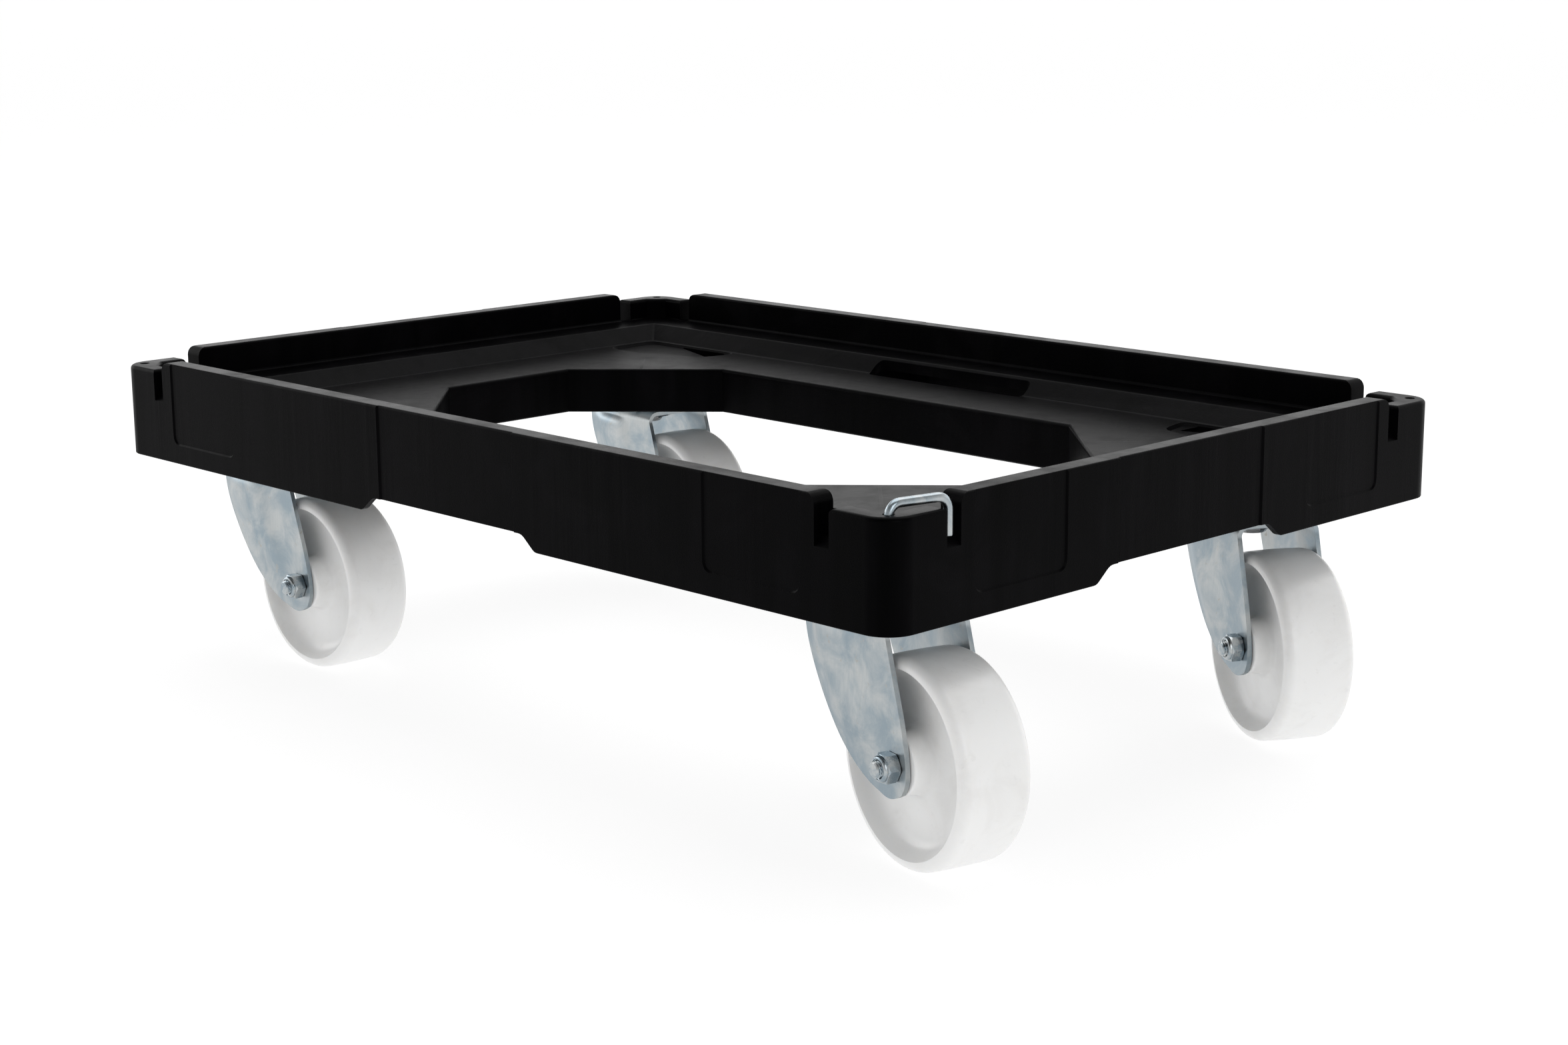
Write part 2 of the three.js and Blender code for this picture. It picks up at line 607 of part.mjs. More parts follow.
// Bent wire: a pin down the post's hole, a bar over the post and a leg that hangs in the slot.
function couplingHook() {
  const pin = new THREE.Vector2(HALF_X - HOOK_HOLE_INSET, HOOK_HOLE_INSET - HALF_Y);
  const leg = new THREE.Vector2(HALF_X - HOOK_LEG_INSET_X, -HOOK_LEG_Y);
  const along = leg.clone().sub(pin).normalize();
  const at = (base, step, z) => new THREE.Vector3(base.x + step * along.x, base.y + step * along.y, z);
  const top = HOOK_BAR_Z;
  const path = new THREE.CurvePath();
  const straight = (from, to) => path.add(new THREE.LineCurve3(from, to));
  const bend = (from, over, to) => path.add(new THREE.QuadraticBezierCurve3(from, over, to));
  straight(at(pin, 0, HOOK_PIN_BOTTOM), at(pin, 0, top - HOOK_BEND));
  bend(at(pin, 0, top - HOOK_BEND), at(pin, 0, top), at(pin, HOOK_BEND, top));
  straight(at(pin, HOOK_BEND, top), at(leg, -HOOK_BEND, top));
  bend(at(leg, -HOOK_BEND, top), at(leg, 0, top), at(leg, 0, top - HOOK_BEND));
  straight(at(leg, 0, top - HOOK_BEND), at(leg, 0, HOOK_LEG_BOTTOM));
  const section = new THREE.Shape();
  section.absarc(0, 0, WIRE_RADIUS, 0, 2 * Math.PI);
  return new THREE.ExtrudeGeometry(section, {
    steps: 36, curveSegments: 4, extrudePath: path, bevelEnabled: false,
  });
}

// A push-on ring near the pin's lower end, which stops the hook from being pulled out.
function hookRetainer() {
  const top = RETAINER_BOTTOM + RETAINER_THICKNESS;
  return turned([
    [RETAINER_BORE_RADIUS, RETAINER_BOTTOM], [RETAINER_RADIUS, RETAINER_BOTTOM],
    [RETAINER_RADIUS, top], [RETAINER_BORE_RADIUS, top],
  ], 12);
}

// ---- Assembly -----------------------------------------------------------------------------------

const FINISH = {
  plastic: { color: 0x101113, roughness: 0.45, metalness: 0 },
  zinc: { color: 0xb9c2c6, roughness: 0.35, metalness: 1 },
  steel: { color: 0x8f959b, roughness: 0.3, metalness: 1 },
  nylon: { color: 0xeeeeea, roughness: 0.4, metalness: 0 },
};

function piece(name, shape, finish) {
  const geometry = shape.isBufferGeometry ? shape : geometryOf(shape);
  const mesh = new THREE.Mesh(geometry, new THREE.MeshStandardMaterial(FINISH[finish]));
  mesh.name = name;
  return mesh;
}

// Where each castor stands, and the heading in degrees that its wheel trails towards.
const CASTORS = [
  { name: 'front_left', side: [-1, -1], heading: -1.0 },
  { name: 'front_right', side: [1, -1], heading: -13.3 },
  { name: 'rear_right', side: [1, 1], heading: -29.6 },
  { name: 'rear_left', side: [-1, 1], heading: -7.0 },
];

function castor({ name, side, heading }) {
  const mount = new THREE.Group();
  mount.position.set(side[0] * PIVOT_X, side[1] * PIVOT_Y, 0);
  mount.add(piece(`${name}_castor_plate`, castorPlate(), 'zinc'));
  mount.add(piece(`${name}_kingpin`, kingpin(), 'steel'));
  let number = 1;
  for (const bx of SIGNS) {
    for (const by of SIGNS) {
      const screw = piece(`${name}_seat_screw_${number}`, seatScrew(), 'zinc');
      screw.position.set(bx * BOLT_X, by * BOLT_Y, 0);
      mount.add(screw);
      number += 1;
    }
  }
  const swivel = new THREE.Group();
  swivel.rotation.z = THREE.MathUtils.degToRad(heading);
  swivel.add(piece(`${name}_fork`, fork(), 'zinc'));
  swivel.add(piece(`${name}_ball_row`, ballRow(), 'steel'));
  swivel.add(piece(`${name}_lower_race`, lowerRace(), 'zinc'));
  const axle = new THREE.Group();
  axle.position.set(TRAIL, 0, WHEEL_RADIUS);
  axle.rotation.x = Math.PI / 2;
  axle.add(piece(`${name}_axle_bolt`, axleBolt(), 'zinc'));
  axle.add(piece(`${name}_axle_nut`, axleNut(), 'zinc'));
  axle.add(piece(`${name}_axle_sleeve`, axleSleeve(), 'steel'));
  axle.add(piece(`${name}_wheel`, wheel(), 'nylon'));
  swivel.add(axle);
  mount.add(swivel);
  return mount;
}

const dolly = new THREE.Group();
dolly.add(piece('deck_frame', deckFrame(), 'plastic'));
dolly.add(piece('coupling_hook', couplingHook(), 'zinc'));
const retainer = piece('hook_retainer', hookRetainer(), 'steel');
retainer.position.set(HALF_X - HOOK_HOLE_INSET, HOOK_HOLE_INSET - HALF_Y, 0);
dolly.add(retainer);
CASTORS.forEach((each) => dolly.add(castor(each)));

// The trailing wheels reach past one end, so the frame stands a little off the middle in X.
const extent = new THREE.Box3().setFromObject(dolly, true);
const centre = extent.getCenter(new THREE.Vector3());
dolly.position.set(-centre.x, -centre.y, -extent.min.z);

export default dolly;
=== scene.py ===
# %% [markdown]
# # A crate dolly, piece by piece
# A low dolly carries stacking crates: a black moulded frame with a wall round it, four swivel
# castors with white nylon wheels, and a bent wire hook that couples one dolly to the next.
# The engineering model is already packed, with joints and collision. This lesson loads it as a
# fixed frame, then builds the looks round it: rounded edges, pressed steel, threads and finishes.

import json
import math

import bmesh
import bpy
from mathutils import Matrix, Vector

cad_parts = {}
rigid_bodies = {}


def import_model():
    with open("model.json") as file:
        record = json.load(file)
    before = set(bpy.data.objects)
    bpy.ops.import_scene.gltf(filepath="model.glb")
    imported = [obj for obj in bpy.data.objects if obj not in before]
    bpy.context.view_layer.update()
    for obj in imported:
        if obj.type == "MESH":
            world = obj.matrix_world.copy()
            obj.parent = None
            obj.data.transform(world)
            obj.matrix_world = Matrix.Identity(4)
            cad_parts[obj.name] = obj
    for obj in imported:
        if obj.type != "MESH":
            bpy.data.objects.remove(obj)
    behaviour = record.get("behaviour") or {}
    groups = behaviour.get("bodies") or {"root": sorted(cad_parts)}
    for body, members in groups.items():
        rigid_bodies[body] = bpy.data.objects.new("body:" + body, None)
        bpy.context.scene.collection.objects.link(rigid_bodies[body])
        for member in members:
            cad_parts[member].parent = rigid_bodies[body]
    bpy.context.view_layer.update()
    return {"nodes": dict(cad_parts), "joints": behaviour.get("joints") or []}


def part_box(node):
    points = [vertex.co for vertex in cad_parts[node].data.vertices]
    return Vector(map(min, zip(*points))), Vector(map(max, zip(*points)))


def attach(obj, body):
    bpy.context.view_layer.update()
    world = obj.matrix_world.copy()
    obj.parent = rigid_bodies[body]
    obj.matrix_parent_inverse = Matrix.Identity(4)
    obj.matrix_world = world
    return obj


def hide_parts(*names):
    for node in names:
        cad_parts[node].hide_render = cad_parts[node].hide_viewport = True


scene = bpy.context.scene
for leftover in list(scene.objects):
    bpy.data.objects.remove(leftover)


def new_object(name, data):
    made = bpy.data.objects.new(name, data)
    scene.collection.objects.link(made)
    return made


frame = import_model()
MM = 0.001
JOINTS = {joint["name"]: joint for joint in frame["joints"]}
CORNERS = ("front_left", "front_right", "rear_right", "rear_left")
SIDES = {"front_left": (-1, -1), "front_right": (1, -1), "rear_right": (1, 1), "rear_left": (-1, 1)}

# %% [markdown]
# ## The camera
# The camera stands in front of the corner that carries the hook, a little above the deck. Its
# place is measured from the middle of the moulded frame, so it follows the part if the frame
# moves. Azimuth turns round the vertical axis, elevation tips the view down, and a small roll
# is what a hand-held camera gives.

# %% The camera
frame_low, frame_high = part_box("deck_frame")
middle = (frame_low + frame_high) / 2
CAMERA_OFFSET = Vector((1.04279, -0.98321, 0.40848))
CAMERA_AZIMUTH = math.radians(45.84)
CAMERA_ELEVATION = math.radians(12.4655)
CAMERA_ROLL = math.radians(-0.4305)
LENS = 59.75
SENSOR = 36.0

camera_data = bpy.data.cameras.new("camera")
camera_data.lens = LENS
camera_data.sensor_width = SENSOR
camera_data.clip_start = 0.05
camera_data.clip_end = 200.0
camera = new_object("camera", camera_data)
back = Vector((
    math.sin(CAMERA_AZIMUTH) * math.cos(CAMERA_ELEVATION),
    -math.cos(CAMERA_AZIMUTH) * math.cos(CAMERA_ELEVATION),
    math.sin(CAMERA_ELEVATION),
))
turn = back.to_track_quat("Z", "Y").to_matrix().to_4x4()
place = Matrix.Translation(Vector((middle.x, middle.y, 0)) + CAMERA_OFFSET)
camera.matrix_world = place @ turn @ Matrix.Rotation(CAMERA_ROLL, 4, "Z")
scene.camera = camera
print("camera at", [round(v, 3) for v in camera.location])

# %% [markdown]
# ## Mesh helpers
# Every piece is a list of points and a list of faces until it is finished. A loft joins rings
# of points, a slab gives an outline a height with rounded edges, and a turned shape spins a
# profile round an axis. Boolean cuts then work like a milling machine.

# %% Points, lofts and slabs
def loft(rings, closed=False):
    """Joins rings of equally many points, each to the next, and caps the ends or joins them."""
    count = len(rings[0])
    points = [point for ring in rings for point in ring]
    steps = len(rings) if closed else len(rings) - 1
    faces = []
    for row in range(steps):
        low = row * count
        high = (row + 1) % len(rings) * count
        for i in range(count):
            j = (i + 1) % count
            faces.append((low + i, low + j, high + j, high + i))
    if not closed:
        faces.append(tuple(reversed(range(count))))
        faces.append(tuple(range(steps * count, steps * count + count)))
    return points, faces


def arc(centre_x, centre_y, radius, start, end, steps):
    """Points on an arc, angles in degrees."""
    angles = [math.radians(start + (end - start) * i / steps) for i in range(steps + 1)]
    return [(centre_x + radius * math.cos(a), centre_y + radius * math.sin(a)) for a in angles]


def rounded_rectangle(half_x, half_y, radius, steps=8):
    x = half_x - radius
    y = half_y - radius
    return (arc(x, y, radius, 0, 90, steps) + arc(-x, y, radius, 90, 180, steps)
            + arc(-x, -y, radius, 180, 270, steps) + arc(x, -y, radius, 270, 360, steps))


def lifted(outline, z):
    return [(x, y, z) for x, y in outline]


def signed_area(outline):
    pairs = zip(outline, outline[1:] + outline[:1])
    return sum(a[0] * b[1] - b[0] * a[1] for a, b in pairs) / 2


def shrunk(outline, distance):
    """The outline moved inwards by a distance, with mitred corners."""
    sign = 1 if signed_area(outline) > 0 else -1
    count = len(outline)
    moved = []
    for i, point in enumerate(outline):
        here = Vector(point)
        before = (here - Vector(outline[i - 1])).normalized()
        after = (Vector(outline[(i + 1) % count]) - here).normalized()
        normals = [Vector((-edge.y, edge.x)) * sign for edge in (before, after)]
        mitre = (normals[0] + normals[1]) / max(1 + normals[0].dot(normals[1]), 0.2)
        moved.append(tuple(here + mitre * distance))
    return moved


def slab(outline, low, high, top_round=0.0, bottom_round=0.0, steps=4):
    """An outline given a height, its top and bottom edges rounded."""
    levels = []
    for step in range(steps if bottom_round else 0):
        angle = math.radians(90 * step / steps)
        levels.append((bottom_round * (1 - math.sin(angle)), low + bottom_round * (1 - math.cos(angle))))
    levels.append((0.0, low + bottom_round))
    levels.append((0.0, high - top_round))
    for step in range(steps if top_round else 0):
        angle = math.radians(90 * (step + 1) / steps)
        levels.append((top_round * (1 - math.cos(angle)), high - top_round * (1 - math.sin(angle))))
    return loft([lifted(shrunk(outline, inset) if inset else outline, z) for inset, z in levels])


def box(x0, x1, y0, y1, z0, z1):
    xs = sorted((x0, x1))
    ys = sorted((y0, y1))
    return slab([(xs[0], ys[0]), (xs[1], ys[0]), (xs[1], ys[1]), (xs[0], ys[1])], z0, z1)


def turned(profile, segments=64):
    """A closed profile of radius and height, spun round the z axis."""
    rings = []
    for i in range(segments):
        angle = 2 * math.pi * i / segments
        rings.append([(r * math.cos(angle), r * math.sin(angle), z) for r, z in profile])
    return loft(rings, closed=True)


def circle(radius, z, segments):
    """Points round the z axis at one height."""
    turns = [2 * math.pi * i / segments for i in range(segments)]
    return [(radius * math.cos(a), radius * math.sin(a), z) for a in turns]


def solid_turned(profile, segments=64):
    """A stack of circles, solid right through to the axis."""
    return loft([circle(r, z, segments) for r, z in profile])


def in_metres(points):
    """Points given in mm, in the scene's metres."""
    return [tuple(v * MM for v in point) for point in points]


def turned_solid(profile, segments=48):
    """The same stack of circles from a profile in mm."""
    return solid_turned(in_metres(profile), segments)


def moved(shape, matrix):
    points, faces = shape
    return [tuple(matrix @ Vector(point)) for point in points], faces


def merged(shapes):
    """Several shapes as one list of points and faces."""
    points = []
    faces = []
    for more_points, more_faces in shapes:
        start = len(points)
        points += more_points
        faces += [tuple(start + i for i in face) for face in more_faces]
    return points, faces


print("a slab has", len(slab(rounded_rectangle(2, 1, 0.2), 0, 1, 0.1)[1]), "faces")


# %% Finished meshes and Boolean cuts
SMOOTH_LIMIT = math.radians(32)


def mesh_object(name, shape):
    mesh = bpy.data.meshes.new(name)
    mesh.from_pydata(shape[0], [], shape[1])
    work = bmesh.new()
    work.from_mesh(mesh)
    bmesh.ops.remove_doubles(work, verts=work.verts, dist=1e-7)
    bmesh.ops.recalc_face_normals(work, faces=work.faces)
    work.to_mesh(mesh)
    work.free()
    return new_object(name, mesh)


def boolean(base, shapes, operation):
    """Joins shapes to a piece, cuts them from it or keeps only what they share."""
    tool = mesh_object("tool", merged(shapes))
    step = base.modifiers.new("step", "BOOLEAN")
    step.operation = operation
    step.solver = "MANIFOLD"
    step.object = tool
    graph = bpy.context.evaluated_depsgraph_get()
    result = bpy.data.meshes.new_from_object(base.evaluated_get(graph))
    base.modifiers.clear()
    base.data = result
    bpy.data.objects.remove(tool)


def face_count(piece):
    return len(piece.data.polygons)


def cut(base, shapes):
    boolean(base, shapes, "DIFFERENCE")


def join(base, shapes):
    boolean(base, shapes, "UNION")


def shade(piece, limit=SMOOTH_LIMIT, weighted=True):
    """Smooth faces with sharp edges where they meet at more than the limit."""
    work = bmesh.new()
    work.from_mesh(piece.data)
    for face in work.faces:
        face.smooth = True
    for edge in work.edges:
        edge.smooth = edge.is_manifold and edge.calc_face_angle(0) < limit
    work.to_mesh(piece.data)
    work.free()
    if weighted:
        normals = piece.modifiers.new("normals", "WEIGHTED_NORMAL")
        normals.keep_sharp = True


def finish_piece(piece, body, material, nodes=()):
    """Gives a piece its finish, ties it to the body and hides the CAD nodes it stands for."""
    piece.data.materials.clear()
    piece.data.materials.append(material)
    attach(piece, body)
    if nodes:
        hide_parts(*nodes)
    return piece


print("helpers are ready")

# %% [markdown]
# ## Shared effects
# Three effects turn up in more than one finish, so each is a node group that is built once.
# Fine grain gives a moulded or plated skin its tooth. Streaks are the long soft marks that
# molten plastic or a rolling mill leaves. Patches are the large, cloudy changes of a plated or
# handled surface. A group only gives out masks and normals, and each material sets its own
# strengths.

# %% Node group helpers
def new_group(name, inputs, outputs):
    group = bpy.data.node_groups.new(name, "ShaderNodeTree")
    for label, kind, value in inputs:
        socket = group.interface.new_socket(label, in_out="INPUT", socket_type=kind)
        socket.default_value = value
    for label, kind in outputs:
        group.interface.new_socket(label, in_out="OUTPUT", socket_type=kind)
    entry = group.nodes.new("NodeGroupInput")
    leave = group.nodes.new("NodeGroupOutput")
    return group, entry, leave


def add(tree, kind, inputs=None, **settings):
    """A node with its settings and its unlinked or linked inputs."""
    node = tree.nodes.new(kind)
    for key, value in settings.items():
        setattr(node, key, value)
    for key, value in (inputs or {}).items():
        if isinstance(value, bpy.types.NodeSocket):
            tree.links.new(value, node.inputs[key])
        else:
            node.inputs[key].default_value = value
    return node


def soft_range(tree, value, from_low, from_high, low=0.0, high=1.0):
    return add(tree, "ShaderNodeMapRange", {
        "Value": value, "From Min": from_low, "From Max": from_high, "To Min": low, "To Max": high},
        interpolation_type="SMOOTHSTEP").outputs["Result"]


def mask_range(group, noise, entry, leave):
    """Turns noise into a soft mask between two limits, and gives it out."""
    mask = soft_range(group, noise.outputs["Fac"], entry.outputs["Low"], entry.outputs["High"])
    group.links.new(mask, leave.inputs["Mask"])


# %% The grain group
def grain_group():
    group, entry, leave = new_group("fine_grain", [
        ("Scale", "NodeSocketFloat", 900.0), ("Depth", "NodeSocketFloat", 0.1)],
        [("Mask", "NodeSocketFloat"), ("Normal", "NodeSocketVector")])
    where = add(group, "ShaderNodeTexCoord")
    noise = add(group, "ShaderNodeTexNoise", {
        "Vector": where.outputs["Object"], "Scale": entry.outputs["Scale"], "Detail": 4.0, "Roughness": 0.6})
    bump = add(group, "ShaderNodeBump", {
        "Height": noise.outputs["Fac"], "Strength": entry.outputs["Depth"], "Distance": 0.0004})
    group.links.new(noise.outputs["Fac"], leave.inputs["Mask"])
    group.links.new(bump.outputs["Normal"], leave.inputs["Normal"])
    return group


# %% The streak group
def streak_group():
    group, entry, leave = new_group("soft_streaks", [
        ("Across", "NodeSocketFloat", 40.0), ("Along", "NodeSocketFloat", 2.0),
        ("Low", "NodeSocketFloat", 0.35), ("High", "NodeSocketFloat", 0.7)],
        [("Mask", "NodeSocketFloat")])
    where = add(group, "ShaderNodeTexCoord")
    stretch = add(group, "ShaderNodeCombineXYZ", {
        "X": entry.outputs["Across"], "Y": entry.outputs["Across"], "Z": entry.outputs["Along"]})
    placed = add(group, "ShaderNodeVectorMath", {
        0: where.outputs["Object"], 1: stretch.outputs["Vector"]}, operation="MULTIPLY")
    noise = add(group, "ShaderNodeTexNoise", {
        "Vector": placed.outputs["Vector"], "Scale": 1.0, "Detail": 5.0, "Roughness": 0.55})
    mask_range(group, noise, entry, leave)
    return group


# %% The patch group
def patch_group():
    group, entry, leave = new_group("cloudy_patches", [
        ("Scale", "NodeSocketFloat", 30.0), ("Low", "NodeSocketFloat", 0.4),
        ("High", "NodeSocketFloat", 0.62)], [("Mask", "NodeSocketFloat")])
    where = add(group, "ShaderNodeTexCoord")
    noise = add(group, "ShaderNodeTexNoise", {
        "Vector": where.outputs["Object"], "Scale": entry.outputs["Scale"], "Detail": 6.0,
        "Roughness": 0.6, "Distortion": 0.6})
    mask_range(group, noise, entry, leave)
    return group


GRAIN = grain_group()
STREAKS = streak_group()
PATCHES = patch_group()
print("node groups:", [group.name for group in (GRAIN, STREAKS, PATCHES)])


# %% Material helpers
def new_material(name, **sockets):
    """A material with one Principled BSDF, its plain values set on the shader itself."""
    material = bpy.data.materials.new(name)
    material.use_nodes = True
    tree = material.node_tree
    shader = tree.nodes["Principled BSDF"]
    for key, value in sockets.items():
        shader.inputs[key.replace("_", " ")].default_value = value
    return material, tree, shader


def use_group(tree, group, **inputs):
    node = add(tree, "ShaderNodeGroup", node_tree=group)
    for key, value in inputs.items():
        node.inputs[key].default_value = value
    return node


def use_mask(tree, group, **inputs):
    return use_group(tree, group, **inputs).outputs["Mask"]


def plug(tree, shader, **sockets):
    """Links each value to the shader's socket of that name."""
    for key, value in sockets.items():
        tree.links.new(value, shader.inputs[key.replace("_", " ")])


def colour_mix(tree, mask, first, second):
    mix = add(tree, "ShaderNodeMix", {"Factor": mask}, data_type="RGBA")
    for socket, colour in ((6, first), (7, second)):
        if isinstance(colour, bpy.types.NodeSocket):
            tree.links.new(colour, mix.inputs[socket])
        else:
            mix.inputs[socket].default_value = (*colour, 1.0)
    return mix.outputs[2]


def value_range(tree, mask, low, high):
    return add(tree, "ShaderNodeMapRange", {"Value": mask, "To Min": low, "To Max": high}).outputs["Result"]


def added(tree, first, second):
    return add(tree, "ShaderNodeMath", {0: first, 1: second}, operation="ADD").outputs["Value"]


# %% [markdown]
# ## Black moulded plastic
# The frame is injection moulded in black plastic with a satin skin. Seen close, it has a fine
# grain, long vertical marks where the melt flowed, and dusty grey patches where it has been
# handled. It reflects little head on and much more at a low angle, which a low specular level
# gives: the faces stay black while the tops of the walls turn grey.

# %% The black plastic
def black_plastic():
    material, tree, shader = new_material("black_plastic", Specular_IOR_Level=0.022)
    streaks = use_mask(tree, STREAKS, Across=55.0, Along=3.0, Low=0.4, High=0.72)
    patches = use_mask(tree, PATCHES, Scale=24.0, Low=0.42, High=0.7)
    grain = use_group(tree, GRAIN, Scale=1400.0, Depth=0.22)
    base = colour_mix(tree, patches, (0.0010, 0.0009, 0.0012), (0.0021, 0.0019, 0.0024))
    tinted = colour_mix(tree, streaks, base, (0.0002, 0.0002, 0.0003))
    rough = added(tree, value_range(tree, streaks, 0.29, 0.36), value_range(tree, patches, 0.0, 0.07))
    sinks = use_mask(tree, STREAKS, Across=30.0, Along=2.5, Low=0.5, High=0.8)
    waves = add(tree, "ShaderNodeBump", {
        "Height": sinks, "Strength": 0.35, "Distance": 0.0005, "Normal": grain.outputs["Normal"]})
    plug(tree, shader, Base_Color=tinted, Roughness=rough, Normal=waves.outputs["Normal"])
    return material


BLACK_PLASTIC = black_plastic()
print("made", BLACK_PLASTIC.name)

# %% [markdown]
# ## Bright zinc plate
# The forks, plates, bolts and the hook are steel with a thin bright zinc plate. New zinc is a
# bluish silver with faint yellow and violet clouds, fine rolling lines from the sheet under it,
# and small dull spots. It is a metal, so its colour tints the reflection, and the clouds go in
# the base colour and in the roughness.

# %% The zinc plate
def zinc_plate(name, roughness, cloud_scale, spotting=1.0, tooth=0.16):
    material, tree, shader = new_material(name, Metallic=1.0)
    clouds = use_mask(tree, PATCHES, Scale=cloud_scale, Low=0.36, High=0.66)
    spots = use_mask(tree, PATCHES, Scale=cloud_scale * 6, Low=0.62, High=0.75)
    lines = use_mask(tree, STREAKS, Across=900.0, Along=35.0, Low=0.3, High=0.75)
    grain = use_group(tree, GRAIN, Scale=700.0, Depth=tooth)
    dull = value_range(tree, spots, 0.0, spotting)
    cool = colour_mix(tree, clouds, (0.27, 0.33, 0.37), (0.49, 0.51, 0.51))
    spotted = colour_mix(tree, dull, cool, (0.42, 0.40, 0.36))
    lined = colour_mix(tree, value_range(tree, lines, 0.0, 0.22), spotted, (0.32, 0.36, 0.39))
    rough = added(tree, value_range(tree, clouds, roughness, roughness + 0.10),
                  value_range(tree, dull, 0.0, 0.12))
    plug(tree, shader, Base_Color=lined, Roughness=rough, Normal=grain.outputs["Normal"])
    return material


ZINC_SHEET = zinc_plate("zinc_sheet", 0.34, 42.0)
ZINC_SCREW = zinc_plate("zinc_fastener", 0.22, 160.0)
ZINC_WIRE = zinc_plate("zinc_wire", 0.24, 70.0, spotting=0.25, tooth=0.04)
print("made", ZINC_SHEET.name, ZINC_SCREW.name, ZINC_WIRE.name)

# %% [markdown]
# ## White nylon and bare steel
# The wheels are solid cast nylon, a slightly warm white that lets a little light in, with a
# soft gloss and grey scuffs on the tread. The balls, rivet and sleeves are bare steel with a
# film of oil, darker and smoother than the zinc.

# %% The wheel nylon
def white_nylon():
    material, tree, shader = new_material(
        "wheel_nylon", Subsurface_Weight=0.12, Subsurface_Scale=0.006, IOR=1.53,
        Subsurface_Radius=(1.0, 0.9, 0.75))
    patches = use_mask(tree, PATCHES, Scale=36.0, Low=0.45, High=0.75)
    scuffs = use_mask(tree, PATCHES, Scale=210.0, Low=0.60, High=0.72)
    grain = use_group(tree, GRAIN, Scale=1100.0, Depth=0.12)
    base = colour_mix(tree, patches, (0.85, 0.85, 0.845), (0.79, 0.785, 0.775))
    marked = colour_mix(tree, value_range(tree, scuffs, 0.0, 0.10), base, (0.45, 0.44, 0.42))
    rough = value_range(tree, patches, 0.30, 0.42)
    plug(tree, shader, Base_Color=marked, Roughness=rough, Normal=grain.outputs["Normal"])
    return material


# %% The oiled steel
def oiled_steel():
    material, tree, shader = new_material("oiled_steel", Metallic=1.0, Coat_Weight=0.2)
    patches = use_mask(tree, PATCHES, Scale=120.0, Low=0.4, High=0.7)
    lines = use_mask(tree, STREAKS, Across=260.0, Along=1500.0, Low=0.35, High=0.7)
    base = colour_mix(tree, patches, (0.42, 0.42, 0.43), (0.30, 0.285, 0.26))
    lined = colour_mix(tree, value_range(tree, lines, 0.0, 0.3), base, (0.52, 0.52, 0.53))
    plug(tree, shader, Base_Color=lined, Roughness=value_range(tree, patches, 0.22, 0.36))
    return material


WHITE_NYLON = white_nylon()
OILED_STEEL = oiled_steel()
print("made", WHITE_NYLON.name, OILED_STEEL.name)

# %% [markdown]
# ## The moulded frame
# The frame is one moulding. In section it is a hollow wall that stands up round the edge, a
# ledge that the crate's foot rests on, a short slope and a flat deck, all of one thin skin that
# is open from below. One section carried round a rounded rectangle makes all of that at once,
# with every edge rounded as a mould leaves it. The rest is cut out or added afterwards.

# %% Sizes of the frame, read from the model
HALF_X = (frame_high.x - frame_low.x) / 2
HALF_Y = (frame_high.y - frame_low.y) / 2
SKIRT_BOTTOM = frame_low.z
WALL_TOP = frame_high.z
SKIN = 3.5 * MM
WALL = 12.0 * MM
LEDGE = 160.0 * MM
LEDGE_WIDTH = 22.0 * MM
DECK = 150.7 * MM
SLOPE = 12.0 * MM
POST_TOP = 173.3 * MM
CORNER_RADIUS = 15.0 * MM
AT_FRAME = Matrix.Translation((middle.x, middle.y, 0))
print("frame in mm:", [round(v / MM, 1) for v in (2 * HALF_X, 2 * HALF_Y, WALL_TOP)])


# %% One section carried round the frame
def ring_at(inset, z, steps=10):
    """The frame's outline, moved in from the outer face, at a height."""
    radius = max(CORNER_RADIUS - inset, 1.5 * MM)
    return lifted(rounded_rectangle(HALF_X - inset, HALF_Y - inset, radius, steps), z)


def frame_section():
    """Inset and height of the section, from the skirt's foot over the wall to the deck and back."""
    edge = 1.3 * MM
    foot = 0.7 * MM
    hollow_top = WALL_TOP - SKIN
    ledge_in = WALL + LEDGE_WIDTH
    deck_in = ledge_in + SLOPE
    deck_end = 140 * MM
    outer = arc(foot, SKIRT_BOTTOM + foot, foot, 270, 180, 3)
    top = arc(edge, WALL_TOP - edge, edge, 180, 90, 4)
    top += arc(WALL - edge, WALL_TOP - edge, edge, 90, 0, 4)
    root = arc(WALL + 2 * MM, LEDGE + 2 * MM, 2 * MM, 180, 270, 4)
    slope = [(ledge_in - 1.0 * MM, LEDGE), (ledge_in + 0.6 * MM, LEDGE - 0.5 * MM),
             (deck_in - 1.2 * MM, DECK + 0.5 * MM), (deck_in + 1.0 * MM, DECK)]
    below = [(deck_end, DECK), (deck_end, DECK - SKIN), (deck_in - SKIN, DECK - SKIN),
             (ledge_in - SKIN, LEDGE - SKIN), (WALL - SKIN, LEDGE - SKIN), (WALL - SKIN, hollow_top),
             (SKIN, hollow_top), (SKIN, SKIRT_BOTTOM)]
    return outer + top + root + slope + below


moulding = mesh_object("moulded_frame", loft([ring_at(*point) for point in frame_section()], closed=True))
print("frame shell faces:", face_count(moulding))

# %% [markdown]
# ## The octagonal opening
# The middle of the deck is open, with its corners cut, and a skirt hangs from its edge to
# stiffen it. The lip is rounded where a hand would hold it. A cutter that flares at the top
# leaves that rounded lip, and the skirt is an octagonal tube joined on below.

